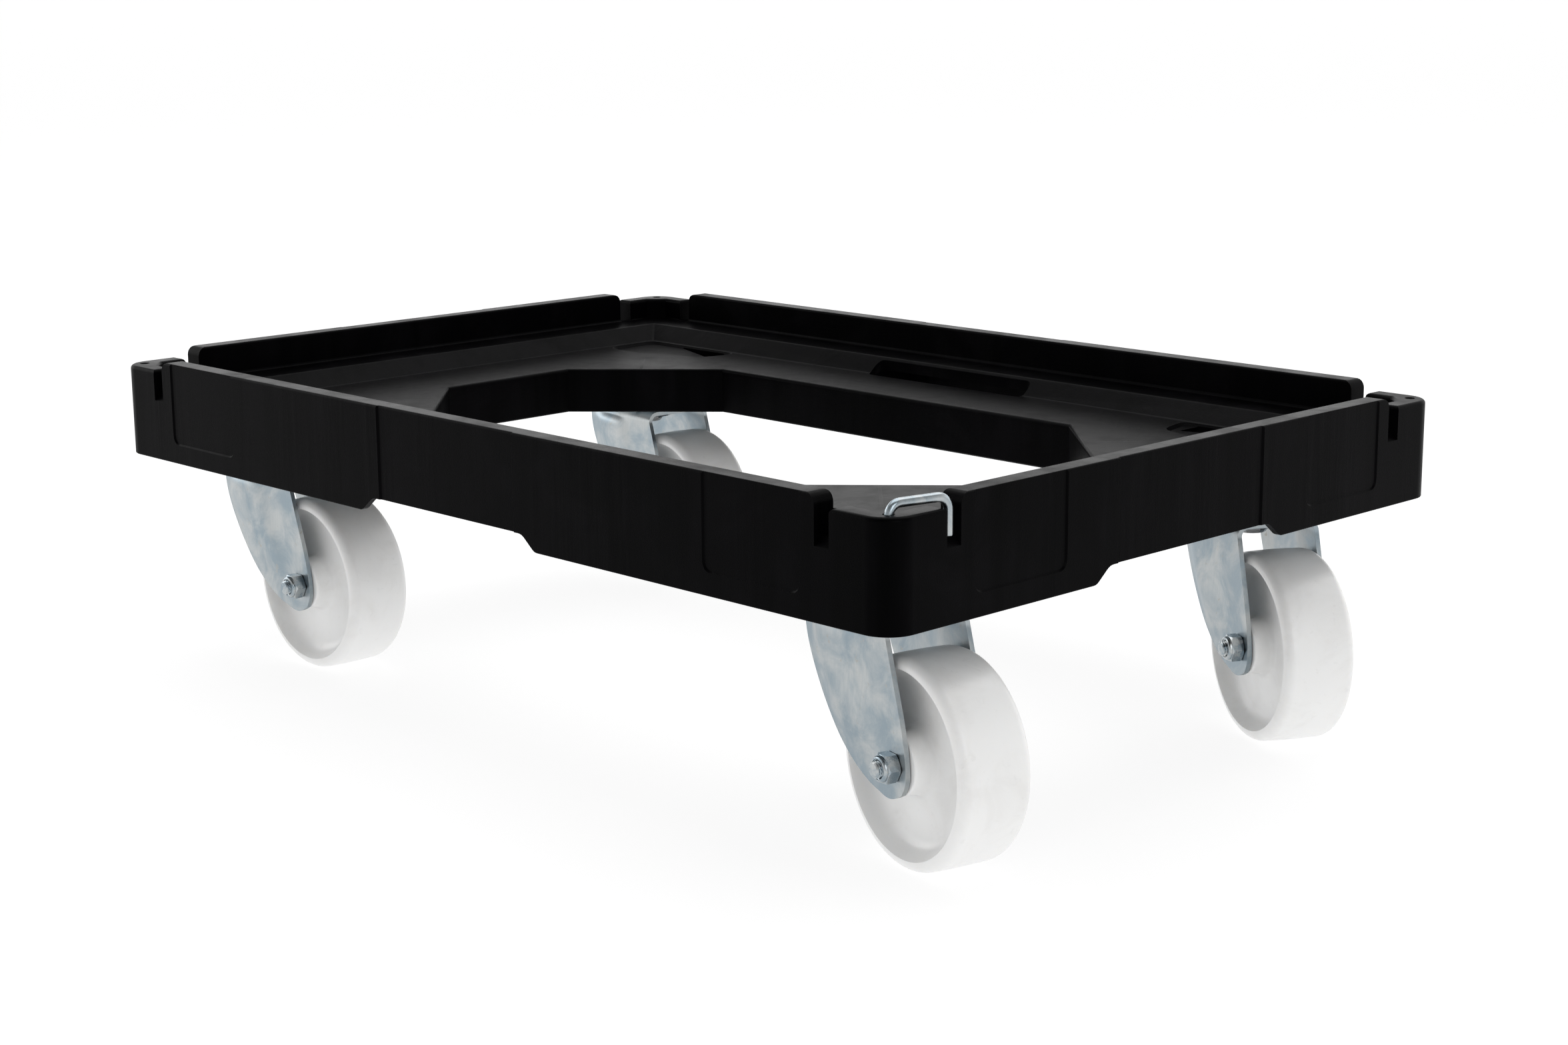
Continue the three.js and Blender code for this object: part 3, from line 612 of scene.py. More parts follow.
# %% Cut the opening and hang its skirt
OPENING_X = 211 * MM
OPENING_Y = 112.5 * MM
OPENING_CUT_X = 71 * MM
OPENING_CUT_Y = 66 * MM
LIP = 2.0 * MM


def octagon(grow):
    x = OPENING_X - OPENING_CUT_X
    y = OPENING_Y - OPENING_CUT_Y
    flat = [(OPENING_X, -y), (OPENING_X, y), (x, OPENING_Y), (-x, OPENING_Y),
            (-OPENING_X, y), (-OPENING_X, -y), (-x, -OPENING_Y), (x, -OPENING_Y)]
    return shrunk(flat, -grow) if grow else flat


def octagon_loft(levels, closed=False):
    return loft([lifted(octagon(grow), z) for grow, z in levels], closed=closed)


def opening_cutter():
    lip = arc(LIP, DECK - LIP, LIP, 180, 90, 5)
    return octagon_loft([(0.0, 100 * MM)] + lip + [(LIP, DECK + 5 * MM)])


def opening_skirt():
    bottom = 123.5 * MM
    edge = 0.8 * MM
    top = DECK - 2.2 * MM
    return octagon_loft([(0.0, bottom + edge), (edge, bottom), (SKIN - edge, bottom),
                         (SKIN, bottom + edge), (SKIN, top), (0.0, top)], closed=True)


cut(moulding, [opening_cutter()])
join(moulding, [opening_skirt()])
print("with the opening:", face_count(moulding))

# %% [markdown]
# ## Ribs and castor seats
# Underneath, thin ribs run from the outer skirt to the skirt of the opening, and each castor has
# a flat seat with four screw bosses. They are what makes a thin moulding stiff. They are joined
# on as plain blocks that reach a little way into the skin, so nothing is left loose.

# %% Ribs under the deck
PIVOTS = {name: Vector(JOINTS[name + "_swivel"]["pos_m"]) - Vector((middle.x, middle.y, 0))
          for name in CORNERS}
SEAT_BOTTOM = 128.3 * MM
SEAT_X = 56 * MM
SEAT_Y = 43 * MM
SCREW_PLACES = [(bx * 40 * MM, by * 30 * MM) for bx in (-1, 1) for by in (-1, 1)]
RIB_HALF = 1.3 * MM
RIB_FOOT = 132 * MM


def long_ribs(side):
    return [box(x * MM - RIB_HALF, x * MM + RIB_HALF, side * (OPENING_Y + 1 * MM),
                side * (HALF_Y - 2 * MM), RIB_FOOT, DECK - 1 * MM)
            for x in (-150, -105, -70, 70, 105, 150)]


def short_ribs(side):
    return [box(side * (OPENING_X + 1 * MM), side * (HALF_X - 2 * MM), y * MM - RIB_HALF,
                y * MM + RIB_HALF, RIB_FOOT, DECK - 1 * MM)
            for y in (-60, -20, 20, 60)]


join(moulding, long_ribs(-1) + long_ribs(1) + short_ribs(-1) + short_ribs(1))
print("with ribs:", face_count(moulding))


# %% Castor seats with their bosses
WEB_HALF = 1.5 * MM
SEAT_THICKNESS = 4 * MM
BOSS_RADIUS = 9 * MM


def castor_seat(name):
    """The seat's plate, its four bosses and two webs that tie it to the skirt."""
    sx, sy = SIDES[name]
    x, y = PIVOTS[name].xy
    low = SEAT_BOTTOM + 1 * MM
    top = DECK - 2 * MM
    outline = [(x + a, y + b) for a, b in rounded_rectangle(SEAT_X, SEAT_Y, 6 * MM, 4)]
    bosses = [slab(arc(x + a, y + b, BOSS_RADIUS, 0, 345, 23), low, top) for a, b in SCREW_PLACES]
    web_x = box(x - sx * SEAT_X, sx * (HALF_X - 2 * MM), y - WEB_HALF, y + WEB_HALF, low, top)
    web_y = box(x - WEB_HALF, x + WEB_HALF, y - sy * SEAT_Y, sy * (HALF_Y - 2 * MM), low, top)
    return [slab(outline, SEAT_BOTTOM, SEAT_BOTTOM + SEAT_THICKNESS)], bosses, [web_x], [web_y]


for kind in zip(*(castor_seat(name) for name in CORNERS)):
    join(moulding, [shape for shapes in kind for shape in shapes])
print("with castor seats:", face_count(moulding))

# %% [markdown]
# ## Corner posts and hook slots
# Each corner of the wall is a post, lower than the wall, with a slot through the wall on either
# side of it. The leg of a coupling hook drops into such a slot. The wall's end above a slot is a
# rounded nose, and the foot of the slot runs out in a small ramp. The old corner is cut away
# first, and a post with its own rounded top takes its place.

# %% Corner shapes, drawn once and mirrored
def softened(points, reach, steps=4):
    """A polygon with each corner replaced by a curve that starts and ends a reach away from it."""
    out = []
    for i, point in enumerate(points):
        here = Vector(point)
        start = here + (Vector(points[i - 1]) - here).normalized() * reach
        end = here + (Vector(points[(i + 1) % len(points)]) - here).normalized() * reach
        for step in range(steps + 1):
            t = step / steps
            out.append(tuple(start * (1 - t) ** 2 + here * 2 * t * (1 - t) + end * t ** 2))
    return out


def at_corner(outline, name):
    """Maps distances in from the two outer faces to a place at one corner of the frame."""
    sx, sy = SIDES[name]
    return [(sx * (HALF_X - u * MM), sy * (HALF_Y - v * MM)) for u, v in outline]


SLOT_NEAR = 36.0
SLOT_FAR = 45.0
SLOT_FOOT = 159.0
NOSE = 5.2
ABOVE_ALL = 200.0
END_FILL = [(2.5, 58)] + arc(15, 15, 12.5, 180, 270, 8) + [(58, 2.5), (58, 11.5), (11.5, 11.5), (11.5, 58)]
CORNER_CUT = [(-1, SLOT_NEAR), (-1, -1), (SLOT_NEAR, -1), (SLOT_NEAR, 12.5), (15.5, 12.5),
              (12.5, 15.5), (12.5, SLOT_NEAR)]
POST = ([(0, SLOT_NEAR)] + arc(15, 15, 15, 180, 270, 10)
        + [(SLOT_NEAR, 0), (SLOT_NEAR, 12), (21, 12), (12, 21), (12, SLOT_NEAR)])
join(moulding, [slab(at_corner(END_FILL, name), 156 * MM, 177 * MM) for name in CORNERS])
cut(moulding, [slab(at_corner(CORNER_CUT, name), LEDGE, ABOVE_ALL * MM) for name in CORNERS])
print("corners cleared:", face_count(moulding))


# %% Slots, posts and holes for the hook
def wall_point(name, wall, s, depth, z):
    """A point of a wall from its distance to the corner, its depth and its height, in mm."""
    sx, sy = SIDES[name]
    u, v = (s, depth) if wall == "long" else (depth, s)
    return (sx * (HALF_X - u * MM), sy * (HALF_Y - v * MM), z * MM)


def slot_cutter(name, wall):
    top = WALL_TOP / MM
    nose = arc(SLOT_FAR + NOSE, top - NOSE, NOSE, 180, 90, 6)
    outline = [(SLOT_NEAR - 0.4, SLOT_FOOT), (SLOT_FAR, SLOT_FOOT)] + nose
    outline += [(SLOT_FAR + NOSE, ABOVE_ALL), (SLOT_NEAR - 0.4, ABOVE_ALL)]
    return loft([[wall_point(name, wall, s, depth, z) for s, z in outline] for depth in (-1, 12.9)])


def slot_ramp(name, wall):
    """The wedge cut away at the foot of a slot, on the outside."""
    section = [(-1, 160), (-1, 155.0), (0, 155.6), (2.0, 157.2), (3.4, 159.0), (3.4, 160)]
    ends = (SLOT_NEAR + 0.01, SLOT_FAR - 0.01)
    return loft([[wall_point(name, wall, s, t, z) for t, z in section] for s in ends])


HOLE_INSET = 10 * MM
HOLE_PROFILE = [(2.4, 150), (2.4, 172.6), (3.3, 174)]
RING_POCKET = [(5.0, 150), (5.0, 169.8)]


def hook_hole(name, profile):
    sx, sy = SIDES[name]
    here = Matrix.Translation((sx * (HALF_X - HOLE_INSET), sy * (HALF_Y - HOLE_INSET), 0))
    return moved(turned_solid(profile, 24), here)


slots = [slot_cutter(name, wall) for name in CORNERS for wall in ("long", "short")]
cut(moulding, slots)
posts = [slab(at_corner(POST, name), 157 * MM, POST_TOP, top_round=2.2 * MM, steps=5) for name in CORNERS]
join(moulding, posts)
cut(moulding, [slot_ramp(name, wall) for name in CORNERS for wall in ("long", "short")])
for profile in (HOLE_PROFILE, RING_POCKET):
    cut(moulding, [hook_hole(name, profile) for name in CORNERS])
print("posts and slots:", face_count(moulding))

# %% [markdown]
# ## The outer faces
# The outer faces aren't plain. Each side's middle stands back a little from its ends, and there
# the lower edge is higher, with rounded bends. Near each corner a shallow panel, rounded at its
# lower corners, would carry an owner's mark. Such steps are only about a millimetre deep, but
# they catch the light as thin lines, so they are cut as real steps with sloping sides.

# %% Raised lower edges and middle recesses
RAISED_HALF = 62.0
RAISED_RUN = 10.0
RAISED_EDGE = 129.0
MIDDLE_HALF = 55.5
MIDDLE_DEPTH = 0.9


def side_frames():
    """For each side, a function from (along, depth, height) in mm to a point."""
    for side in (-1, 1):
        yield lambda a, t, z, side=side: (a * MM, side * (HALF_Y - t * MM), z * MM)
        yield lambda a, t, z, side=side: (side * (HALF_X - t * MM), a * MM, z * MM)


def raised_cutter(to_point):
    low = SKIRT_BOTTOM / MM
    end = RAISED_HALF + RAISED_RUN
    reach = 2.6
    corners = [(-end - 8, low), (-end, low), (-RAISED_HALF, RAISED_EDGE), (RAISED_HALF, RAISED_EDGE),
               (end, low), (end + 8, low), (end + 8, low - 2), (-end - 8, low - 2)]
    soft = softened(corners, reach)
    steps = 5
    outline = [corners[0]] + soft[steps:5 * steps] + corners[5:]
    return loft([[to_point(a, t, z) for a, z in outline] for t in (-1, 5)])


def middle_cutter(to_point):
    """Cuts a side's middle back, with sloping ends and the same rounded top as the wall."""
    top = WALL_TOP / MM
    edge = 1.3
    rings = []
    for a, depth in ((-MIDDLE_HALF - 0.6, -0.02), (-MIDDLE_HALF + 0.6, MIDDLE_DEPTH),
                     (MIDDLE_HALF - 0.6, MIDDLE_DEPTH), (MIDDLE_HALF + 0.6, -0.02)):
        section = [(-1, 100), (depth, 100)] + arc(depth + edge, top - edge, edge, 180, 90, 4)
        section += [(depth + edge, top + 2), (-1, top + 2)]
        rings.append([to_point(a, t, z) for t, z in section])
    return loft(rings)


sides = list(side_frames())
cut(moulding, [middle_cutter(to_point) for to_point in sides])
cut(moulding, [raised_cutter(to_point) for to_point in sides])
print("sides stepped:", face_count(moulding))

# %% Panels near the corners
PANEL_NEAR = 54.0
PANEL_FAR = 117.0
PANEL_FOOT = 132.0
PANEL_DEPTH = 0.75
PANEL_SLOPE = 0.9


def panel_cutter(to_point, half, end):
    near = end * (half / MM - PANEL_NEAR)
    far = end * (half / MM - PANEL_FAR)
    a0, a1 = sorted((near, far))
    top = WALL_TOP / MM + 3
    lower = softened([(a0, top), (a0, PANEL_FOOT), (a1, PANEL_FOOT), (a1, top)], 6.0)
    outline = [(a0, top)] + lower[5:15] + [(a1, top)]
    floor = shrunk(outline, PANEL_SLOPE)
    levels = ((-1, outline), (0.0, outline), (PANEL_DEPTH, floor))
    return loft([[to_point(a, t, z) for a, z in flat] for t, flat in levels])


panels = []
for number, to_point in enumerate(sides):
    half = HALF_X if number % 2 == 0 else HALF_Y
    panels += [panel_cutter(to_point, half, end) for end in (-1, 1)]
cut(moulding, panels)
print("panels:", face_count(moulding))

# %% [markdown]
# ## The deck's openings
# Two long slots go through the deck beside the walls, for a strap or for fingers. Over each
# castor the deck has a shallow pocket, and a three-cornered window at its inner end shows the
# castor's plate. Slots and windows are cut straight down, and a pocket's sides slope.

# %% Slots, pockets and windows
DECK_SLOT_HALF = 62.0
DECK_SLOT_NEAR = 161.5
DECK_SLOT_FAR = 174.0


def deck_slot(side):
    half, near, far = DECK_SLOT_HALF, DECK_SLOT_NEAR, DECK_SLOT_FAR
    flat = [(-half, near), (half, near), (half, far), (-half, far)]
    outline = [(x * MM, side * y * MM) for x, y in softened(flat, 5.0)]
    return slab(outline, 140 * MM, 164 * MM)


POCKET = [(180, 163), (186, 137), (237, 121), (262, 123), (263, 163)]
WINDOW = [(190, 146), (190, 162), (232, 162)]
POCKET_DEPTH = 1.8


def on_deck(points, reach, name):
    sx, sy = SIDES[name]
    return [(sx * x * MM, sy * y * MM) for x, y in softened(points, reach)]


def pocket(name):
    outline = on_deck(POCKET, 8.0, name)
    floor = DECK - POCKET_DEPTH * MM
    levels = [(1.6 * MM, floor), (0.4 * MM, DECK - 0.5 * MM), (0.0, DECK), (-0.3 * MM, DECK + 1 * MM)]
    return loft([lifted(shrunk(outline, inset), z) for inset, z in levels])


cut(moulding, [deck_slot(side) for side in (-1, 1)])
cut(moulding, [pocket(name) for name in CORNERS])
cut(moulding, [slab(on_deck(WINDOW, 2.0, name), 127 * MM, 160 * MM) for name in CORNERS])
print("vertices above the wall:", sum(v.co.z > WALL_TOP + 1e-6 for v in moulding.data.vertices))
moulding.data.transform(AT_FRAME)
shade(moulding)
finish_piece(moulding, "frame", BLACK_PLASTIC, ["deck_frame"])
print("moulded frame:", face_count(moulding), "faces")

# %% [markdown]
# ## Castors: one local frame
# All four castors are alike, so each piece is drawn once, with the swivel axis on z and the
# wheel trailing towards +X, and then turned to its own heading. The heading and the trail are
# read from the joints, so a piece always sits on the axis that it turns about.

# %% Where each castor stands
def swivel_place(name):
    pivot = Vector(JOINTS[name + "_swivel"]["pos_m"])
    hub = Vector(JOINTS[name + "_spin"]["pos_m"])
    heading = math.atan2(hub.y - pivot.y, hub.x - pivot.x)
    return Matrix.Translation((pivot.x, pivot.y, 0)) @ Matrix.Rotation(heading, 4, "Z")


pivot_point = Vector(JOINTS["front_left_swivel"]["pos_m"])
hub_point = Vector(JOINTS["front_left_spin"]["pos_m"])
TRAIL = (hub_point - pivot_point).xy.length
AXLE_HEIGHT = hub_point.z
AXLE = Matrix.Translation((TRAIL, 0, AXLE_HEIGHT)) @ Matrix.Rotation(math.pi / 2, 4, "X")
print("trail in mm:", round(TRAIL / MM, 2), "axle height:", round(AXLE_HEIGHT / MM, 1))

# %% [markdown]
# ## The pressed fork
# The fork is pressed from 2.5 mm sheet: a crown with a ball cup, and two arms bent down from it
# that narrow to the axle. Each arm is dished outwards along its leading side, which stiffens it
# and gives it its soft highlights. The sheet is modelled as one curved surface, row by row from
# one arm's tip over the crown to the other tip, and then given its thickness.

# %% The edges of an arm
SHEET = 2.5 * MM
ARM_Y = 21.85 * MM
FORK_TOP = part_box("front_left_fork")[1].z
CUP_RISE = 4.5 * MM
CROWN_TOP = FORK_TOP - CUP_RISE
CROWN_Z = CROWN_TOP - 1.5 * MM
CROWN_BEND = 5.0 * MM
ARM_TOP = (CROWN_Z - CROWN_BEND) / MM
LEADING = [(-34, ARM_TOP), (-33.6, 101), (-31.0, 92), (-25.5, 81), (-17, 68), (-5, 54), (8, 44),
           (20, 38), (29, 35.5)]
TRAILING = [(34, ARM_TOP), (36.2, 101), (39.2, 92), (42.6, 82), (46, 72), (49, 61), (50.6, 51),
            (50.4, 44), (47.5, 38)]
print("crown top in mm:", round(CROWN_TOP / MM, 1))


def curve_point(points, t):
    """A point on a smooth curve through the points, t from 0 to 1."""
    place_on = t * (len(points) - 1)
    i = min(int(place_on), len(points) - 2)
    u = place_on - i
    last = len(points) - 1
    p0, p1, p2, p3 = (Vector(points[min(max(i + k, 0), last)]) for k in (-1, 0, 1, 2))
    return 0.5 * (2 * p1 + (p2 - p0) * u + (2 * p0 - 5 * p1 + 4 * p2 - p3) * u * u
                  + (3 * p1 - p0 - 3 * p2 + p3) * u ** 3)


def smooth_step(low, high, value):
    t = min(max((value - low) / (high - low), 0), 1)
    return t * t * (3 - 2 * t)


def dish(s, t):
    """How far the arm stands out, s across it from its leading edge and t down it."""
    across = smooth_step(0.0, 0.22, s) * (1 - smooth_step(0.44, 0.68, s))
    down = smooth_step(0.0, 0.10, t) * (1 - smooth_step(0.46, 0.84, t))
    return 2.3 * MM * across * down


# %% The fork's sheet
AXLE_HOLE = 4.3
KINGPIN_HOLE = 7.0
ARM_ROWS = 30
ACROSS = 18


def arm_row(t, side):
    lead = curve_point(LEADING, t)
    trail = curve_point(TRAILING, t)
    row = []
    for i in range(ACROSS + 1):
        s = i / ACROSS
        x, z = lead.lerp(trail, s)
        z -= 2.6 * math.sin(math.pi * s) * smooth_step(0.90, 1.0, t)
        row.append((x * MM, side * (ARM_Y + dish(s, t)), z * MM))
    return row


def bend_row(angle, side):
    """A row in the bend between an arm and the crown, angle in degrees from the arm."""
    a = math.radians(angle)
    y = ARM_Y - CROWN_BEND * (1 - math.cos(a))
    z = CROWN_Z - CROWN_BEND * (1 - math.sin(a))
    lead = curve_point(LEADING, 0).x
    trail = curve_point(TRAILING, 0).x
    return [((lead + (trail - lead) * i / ACROSS) * MM, side * y, z) for i in range(ACROSS + 1)]


def fork_rows():
    rows = [arm_row(1 - i / ARM_ROWS, 1) for i in range(ARM_ROWS + 1)]
    rows += [bend_row(angle, 1) for angle in (18, 36, 54, 72, 90)]
    rows += [[(x, y * MM, z) for x, _, z in bend_row(90, 1)] for y in (12, 6, 0, -6, -12)]
    rows += [bend_row(angle, -1) for angle in (90, 72, 54, 36, 18)]
    rows += [arm_row(i / ARM_ROWS, -1) for i in range(ARM_ROWS + 1)]
    return rows


def sheet_shape(rows):
    count = len(rows[0])
    points = [point for row in rows for point in row]
    faces = [(r * count + i, r * count + i + 1, (r + 1) * count + i + 1, (r + 1) * count + i)
             for r in range(len(rows) - 1) for i in range(count - 1)]
    return points, faces


def fork_piece(name):
    piece = mesh_object(name + "_pressed_fork", sheet_shape(fork_rows()))
    thick = piece.modifiers.new("thickness", "SOLIDIFY")
    thick.thickness = SHEET
    thick.offset = 0.0
    thick.use_even_offset = False
    graph = bpy.context.evaluated_depsgraph_get()
    solid = bpy.data.meshes.new_from_object(piece.evaluated_get(graph))
    piece.modifiers.clear()
    piece.data = solid
    bore = moved(turned_solid([(AXLE_HOLE, -40), (AXLE_HOLE, 40)], 32), AXLE)
    cut(piece, [bore])
    cut(piece, [turned_solid([(KINGPIN_HOLE, 100), (KINGPIN_HOLE, 130)], 40)])
    cup = [(15, -2), (27, -2), (27, 3.6), (26.2, 4.5), (25.2, 4.5), (24.8, 4), (24.8, 0.4),
           (24.2, 0), (15, 0)]
    cup_shape = turned([(r * MM, CROWN_TOP + z * MM) for r, z in cup], 72)
    piece.data.transform(swivel_place(name))
    cup_piece = mesh_object(name + "_ball_cup", moved(cup_shape, swivel_place(name)))
    soft = piece.modifiers.new("edge", "BEVEL")
    soft.width = 0.45 * MM
    soft.segments = 2
    soft.limit_method = "ANGLE"
    soft.angle_limit = math.radians(50)
    shade(piece)
    shade(cup_piece)
    finish_piece(piece, name + "_castor", ZINC_SHEET, [name + "_fork"])
    finish_piece(cup_piece, name + "_castor", ZINC_SHEET)
    return piece


forks = [fork_piece(name) for name in CORNERS]
print("fork faces:", [face_count(fork) for fork in forks])

# %% [markdown]
# ## The nylon wheel
# The wheel is one solid casting: a slightly crowned tread with rounded shoulders, a narrow rim,
# a web that slopes in to a long hub, and a bore for the sleeve. A profile spun round the axle
# gives all of that. Enough steps round the rim keep its outline a true circle.

# %% The wheel
WHEEL_RADIUS = 50.0
WHEEL_HALF = 19.0
HUB_HALF = 20.0


def wheel_profile():
    """Radius and distance along the axle, for one half, from the bore out to the tread."""
    shoulder = 5.2
    half = [(7.0, 0), (7.0, HUB_HALF - 0.8), (7.8, HUB_HALF)]
    half += [(12.6, HUB_HALF)] + arc(12.6, HUB_HALF - 1.4, 1.4, 90, 0, 4)[1:]
    half += [(14.6, 13.0), (15.6, 10.6), (17.6, 9.4), (21.0, 9.0), (30.0, 9.0), (35.5, 9.4)]
    half += [(38.5, 10.4), (40.8, 12.2), (42.4, 14.8), (43.4, 17.4), (44.1, WHEEL_HALF - 0.5)]
    half += arc(WHEEL_RADIUS - shoulder - 0.3, WHEEL_HALF - shoulder, shoulder, 92, 0, 12)
    half += [(WHEEL_RADIUS - 0.14, 9.0), (WHEEL_RADIUS - 0.04, 5.0), (WHEEL_RADIUS, 0.4), (WHEEL_RADIUS, 0)]
    return half


def wheel_piece(name):
    half = wheel_profile()
    whole = half + [(r, -z) for r, z in reversed(half[1:-1])]
    shape = turned(in_metres(whole), 128)
    piece = mesh_object(name + "_nylon_wheel", moved(shape, swivel_place(name) @ AXLE))
    shade(piece, math.radians(40))
    return finish_piece(piece, name + "_wheel", WHITE_NYLON, [name + "_wheel"])


wheels = [wheel_piece(name) for name in CORNERS]
print("wheel faces:", face_count(wheels[0]))

# %% [markdown]
# ## Bolt, nut and thread
# An M8 bolt is the axle. Its head is on the far side and a locking nut is on the near side, with
# a rounded collar over a nylon ring and the end of the thread standing proud. A hexagon cut
# with a turned shape leaves the curved corners that every real nut has. The thread is a true
# helix: each point's radius depends on its height and on its angle.

# %% Hexagons and threads
FLATS = 13.0
ARM_FACE = 23.4
HEAD_HEIGHT = 5.3
NUT_HEIGHT = 6.2
SHANK = 4.0
PITCH = 1.25


def hexagon(name, low, high, corners):
    """A hexagon in mm whose corners are turned down to a profile."""
    outline = arc(0, 0, FLATS / math.sqrt(3), 0, 300, 5)
    piece = mesh_object(name, slab(in_metres(outline), low * MM, high * MM))
    boolean(piece, [turned_solid(corners)], "INTERSECT")
    return piece


def screw_head(name, low, high):
    return hexagon(name, low, high, [(6.3, low), (7.6, low + 0.75), (7.6, high)])


def threaded_end(radius, pitch, low, high, segments=36):
    """The last turns of a thread, with a small chamfer at the end."""
    depth = 0.61 * pitch
    rings = []
    count = int((high - low) / 0.12)
    for row in range(count + 1):
        z = low + (high - low) * row / count
        ring = []
        for i in range(segments):
            turn_share = i / segments
            phase = (z / pitch - turn_share) % 1.0
            groove = depth * abs(2 * phase - 1)
            r = min(radius - groove, radius - depth + 1.3 * (high - z)) * MM
            angle = 2 * math.pi * turn_share
            ring.append((r * math.cos(angle), r * math.sin(angle), z * MM))
        rings.append(ring)
    return loft(rings)


# %% The axle's bolt and nut
def bolt_piece(name):
    piece = screw_head(name + "_bolt", -(ARM_FACE + HEAD_HEIGHT), -ARM_FACE)
    join(piece, [turned_solid([(SHANK, -ARM_FACE - 2), (SHANK, ARM_FACE + 5)], 36)])
    thread = mesh_object(name + "_thread", threaded_end(SHANK, PITCH, ARM_FACE + 4.0, ARM_FACE + 10.4))
    for made in (piece, thread):
        made.data.transform(swivel_place(name) @ AXLE)
        shade(made)
    finish_piece(piece, name + "_castor", ZINC_SCREW, [name + "_axle_bolt"])
    return finish_piece(thread, name + "_castor", ZINC_SCREW)


def nut_piece(name):
    top = ARM_FACE + NUT_HEIGHT
    corners = [(6.7, ARM_FACE), (7.6, ARM_FACE + 0.5), (7.6, top - 0.9), (6.3, top)]
    piece = hexagon(name + "_lock_nut", ARM_FACE, top, corners)
    collar = [(6.2, top - 1), (6.2, top + 0.3)] + arc(4.9, top + 0.6, 1.25, 0, 90, 5) + [(4.6, top + 1.85)]
    join(piece, [turned_solid(collar)])
    bore = [(4.15, ARM_FACE - 1), (4.15, top + 1.0), (4.7, top + 1.4), (4.7, top + 3)]
    cut(piece, [turned_solid(bore)])
    piece.data.transform(swivel_place(name) @ AXLE)
    shade(piece)
    return finish_piece(piece, name + "_castor", ZINC_SCREW, [name + "_axle_nut"])


for name in CORNERS:
    bolt_piece(name)
    nut = nut_piece(name)
print("nut faces:", face_count(nut))

# %% [markdown]
# ## The castor's top plate
# The top plate is a rectangle with rounded corners and four holes, pressed down in the middle
# into a dish that is the upper race. Four hexagon-head screws hold it to the seat. Only their
# edges show from outside, but from below they are in plain view, so they get real corners too.

# %% Plate and screws
DISH_OPENING = 30 * MM
SCREW_HOLE = 4.6 * MM


def over_box(low, high):
    """The move from the origin to the middle of a box, in plan."""
    return Matrix.Translation(((low.x + high.x) / 2, (low.y + high.y) / 2, 0))


def plate_piece(name):
    low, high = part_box(name + "_castor_plate")
    half_x = (high.x - low.x) / 2
    half_y = (high.y - low.y) / 2
    top = high.z
    under = top - SHEET
    outline = rounded_rectangle(half_x, half_y, 8 * MM, 8)
    piece = mesh_object(name + "_top_plate", slab(outline, under, top, 0.5 * MM, 0.5 * MM, 2))
    dish_cut = [(DISH_OPENING, under - 2 * MM), (DISH_OPENING, top + 2 * MM)]
    cut(piece, [solid_turned(dish_cut, 72)])
    floor = low.z
    rim = (under - floor) / MM
    section = [(6.5, 0), (22.6, 0), (24.0, 0.5), (28.0, rim - 0.9), (29.6, rim - 0.2), (31.6, rim),
               (31.6, rim + 2.5), (29.6, rim + 2.5), (27.2, rim + 1.7), (23.2, 3.0), (21.6, 2.5), (6.5, 2.5)]
    section = [(r * MM, floor + z * MM) for r, z in section]
    join(piece, [turned(section, 72)])
    hole = solid_turned([(SCREW_HOLE, under - 1 * MM), (SCREW_HOLE, top + 1 * MM)], 32)
    holes = [moved(hole, Matrix.Translation((x, y, 0))) for x, y in SCREW_PLACES]
    cut(piece, holes)
    piece.data.transform(over_box(low, high))
    shade(piece)
    return finish_piece(piece, "frame", ZINC_SHEET, [name + "_castor_plate"])


def screw_piece(name, number):
    node = f"{name}_seat_screw_{number}"
    low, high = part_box(node)
    head = low.z / MM
    seat = head + HEAD_HEIGHT
    piece = screw_head(node + "_hex", head, seat)
    join(piece, [turned_solid([(SHANK, seat - 1), (SHANK, high.z / MM)], 32)])
    piece.data.transform(over_box(low, high))
    shade(piece)
    return finish_piece(piece, "frame", ZINC_SCREW, [node])


for name in CORNERS:
    plate = plate_piece(name)
    for number in (1, 2, 3, 4):
        screw_piece(name, number)
print("plate faces:", face_count(plate))

# %% [markdown]
# ## Bearings and sleeves
# The rivet, the lower race, the axle's sleeve and the hook's ring keep their engineering shapes,
# with a small bevel and a finish. The balls are drawn one by one, because the gap under the plate
# shows them.

# %% Balls, rivet, race and sleeve
BALL_CIRCLE = 21 * MM
BALL_COUNT = 18


def ball_shape(radius, rings=8, segments=14):
    angles = [math.pi * row / rings for row in range(1, rings)]
    return loft([circle(radius * math.sin(a), -radius * math.cos(a), segments) for a in angles])


def ball_ring(name):
    low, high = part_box(name + "_ball_row")
    ball = ball_shape((high.z - low.z) / 2)
    places = circle(BALL_CIRCLE, (low.z + high.z) / 2, BALL_COUNT)
    balls = [moved(ball, Matrix.Translation(here)) for here in places]
    piece = mesh_object(name + "_balls", moved(merged(balls), swivel_place(name)))
    shade(piece, math.radians(60), weighted=False)
    return finish_piece(piece, name + "_castor", OILED_STEEL, [name + "_ball_row"])


def keep_node(node, material):
    """A CAD node that is shown as it is, with a small bevel and a finish."""
    shown = frame["nodes"][node]
    shown.data.materials.clear()
    shown.data.materials.append(material)
    edge = shown.modifiers.new("edge", "BEVEL")
    edge.width = 0.25 * MM
    edge.segments = 2
    edge.angle_limit = math.radians(40)
    for face in shown.data.polygons:
        face.use_smooth = True
    shown.modifiers.new("normals", "WEIGHTED_NORMAL")


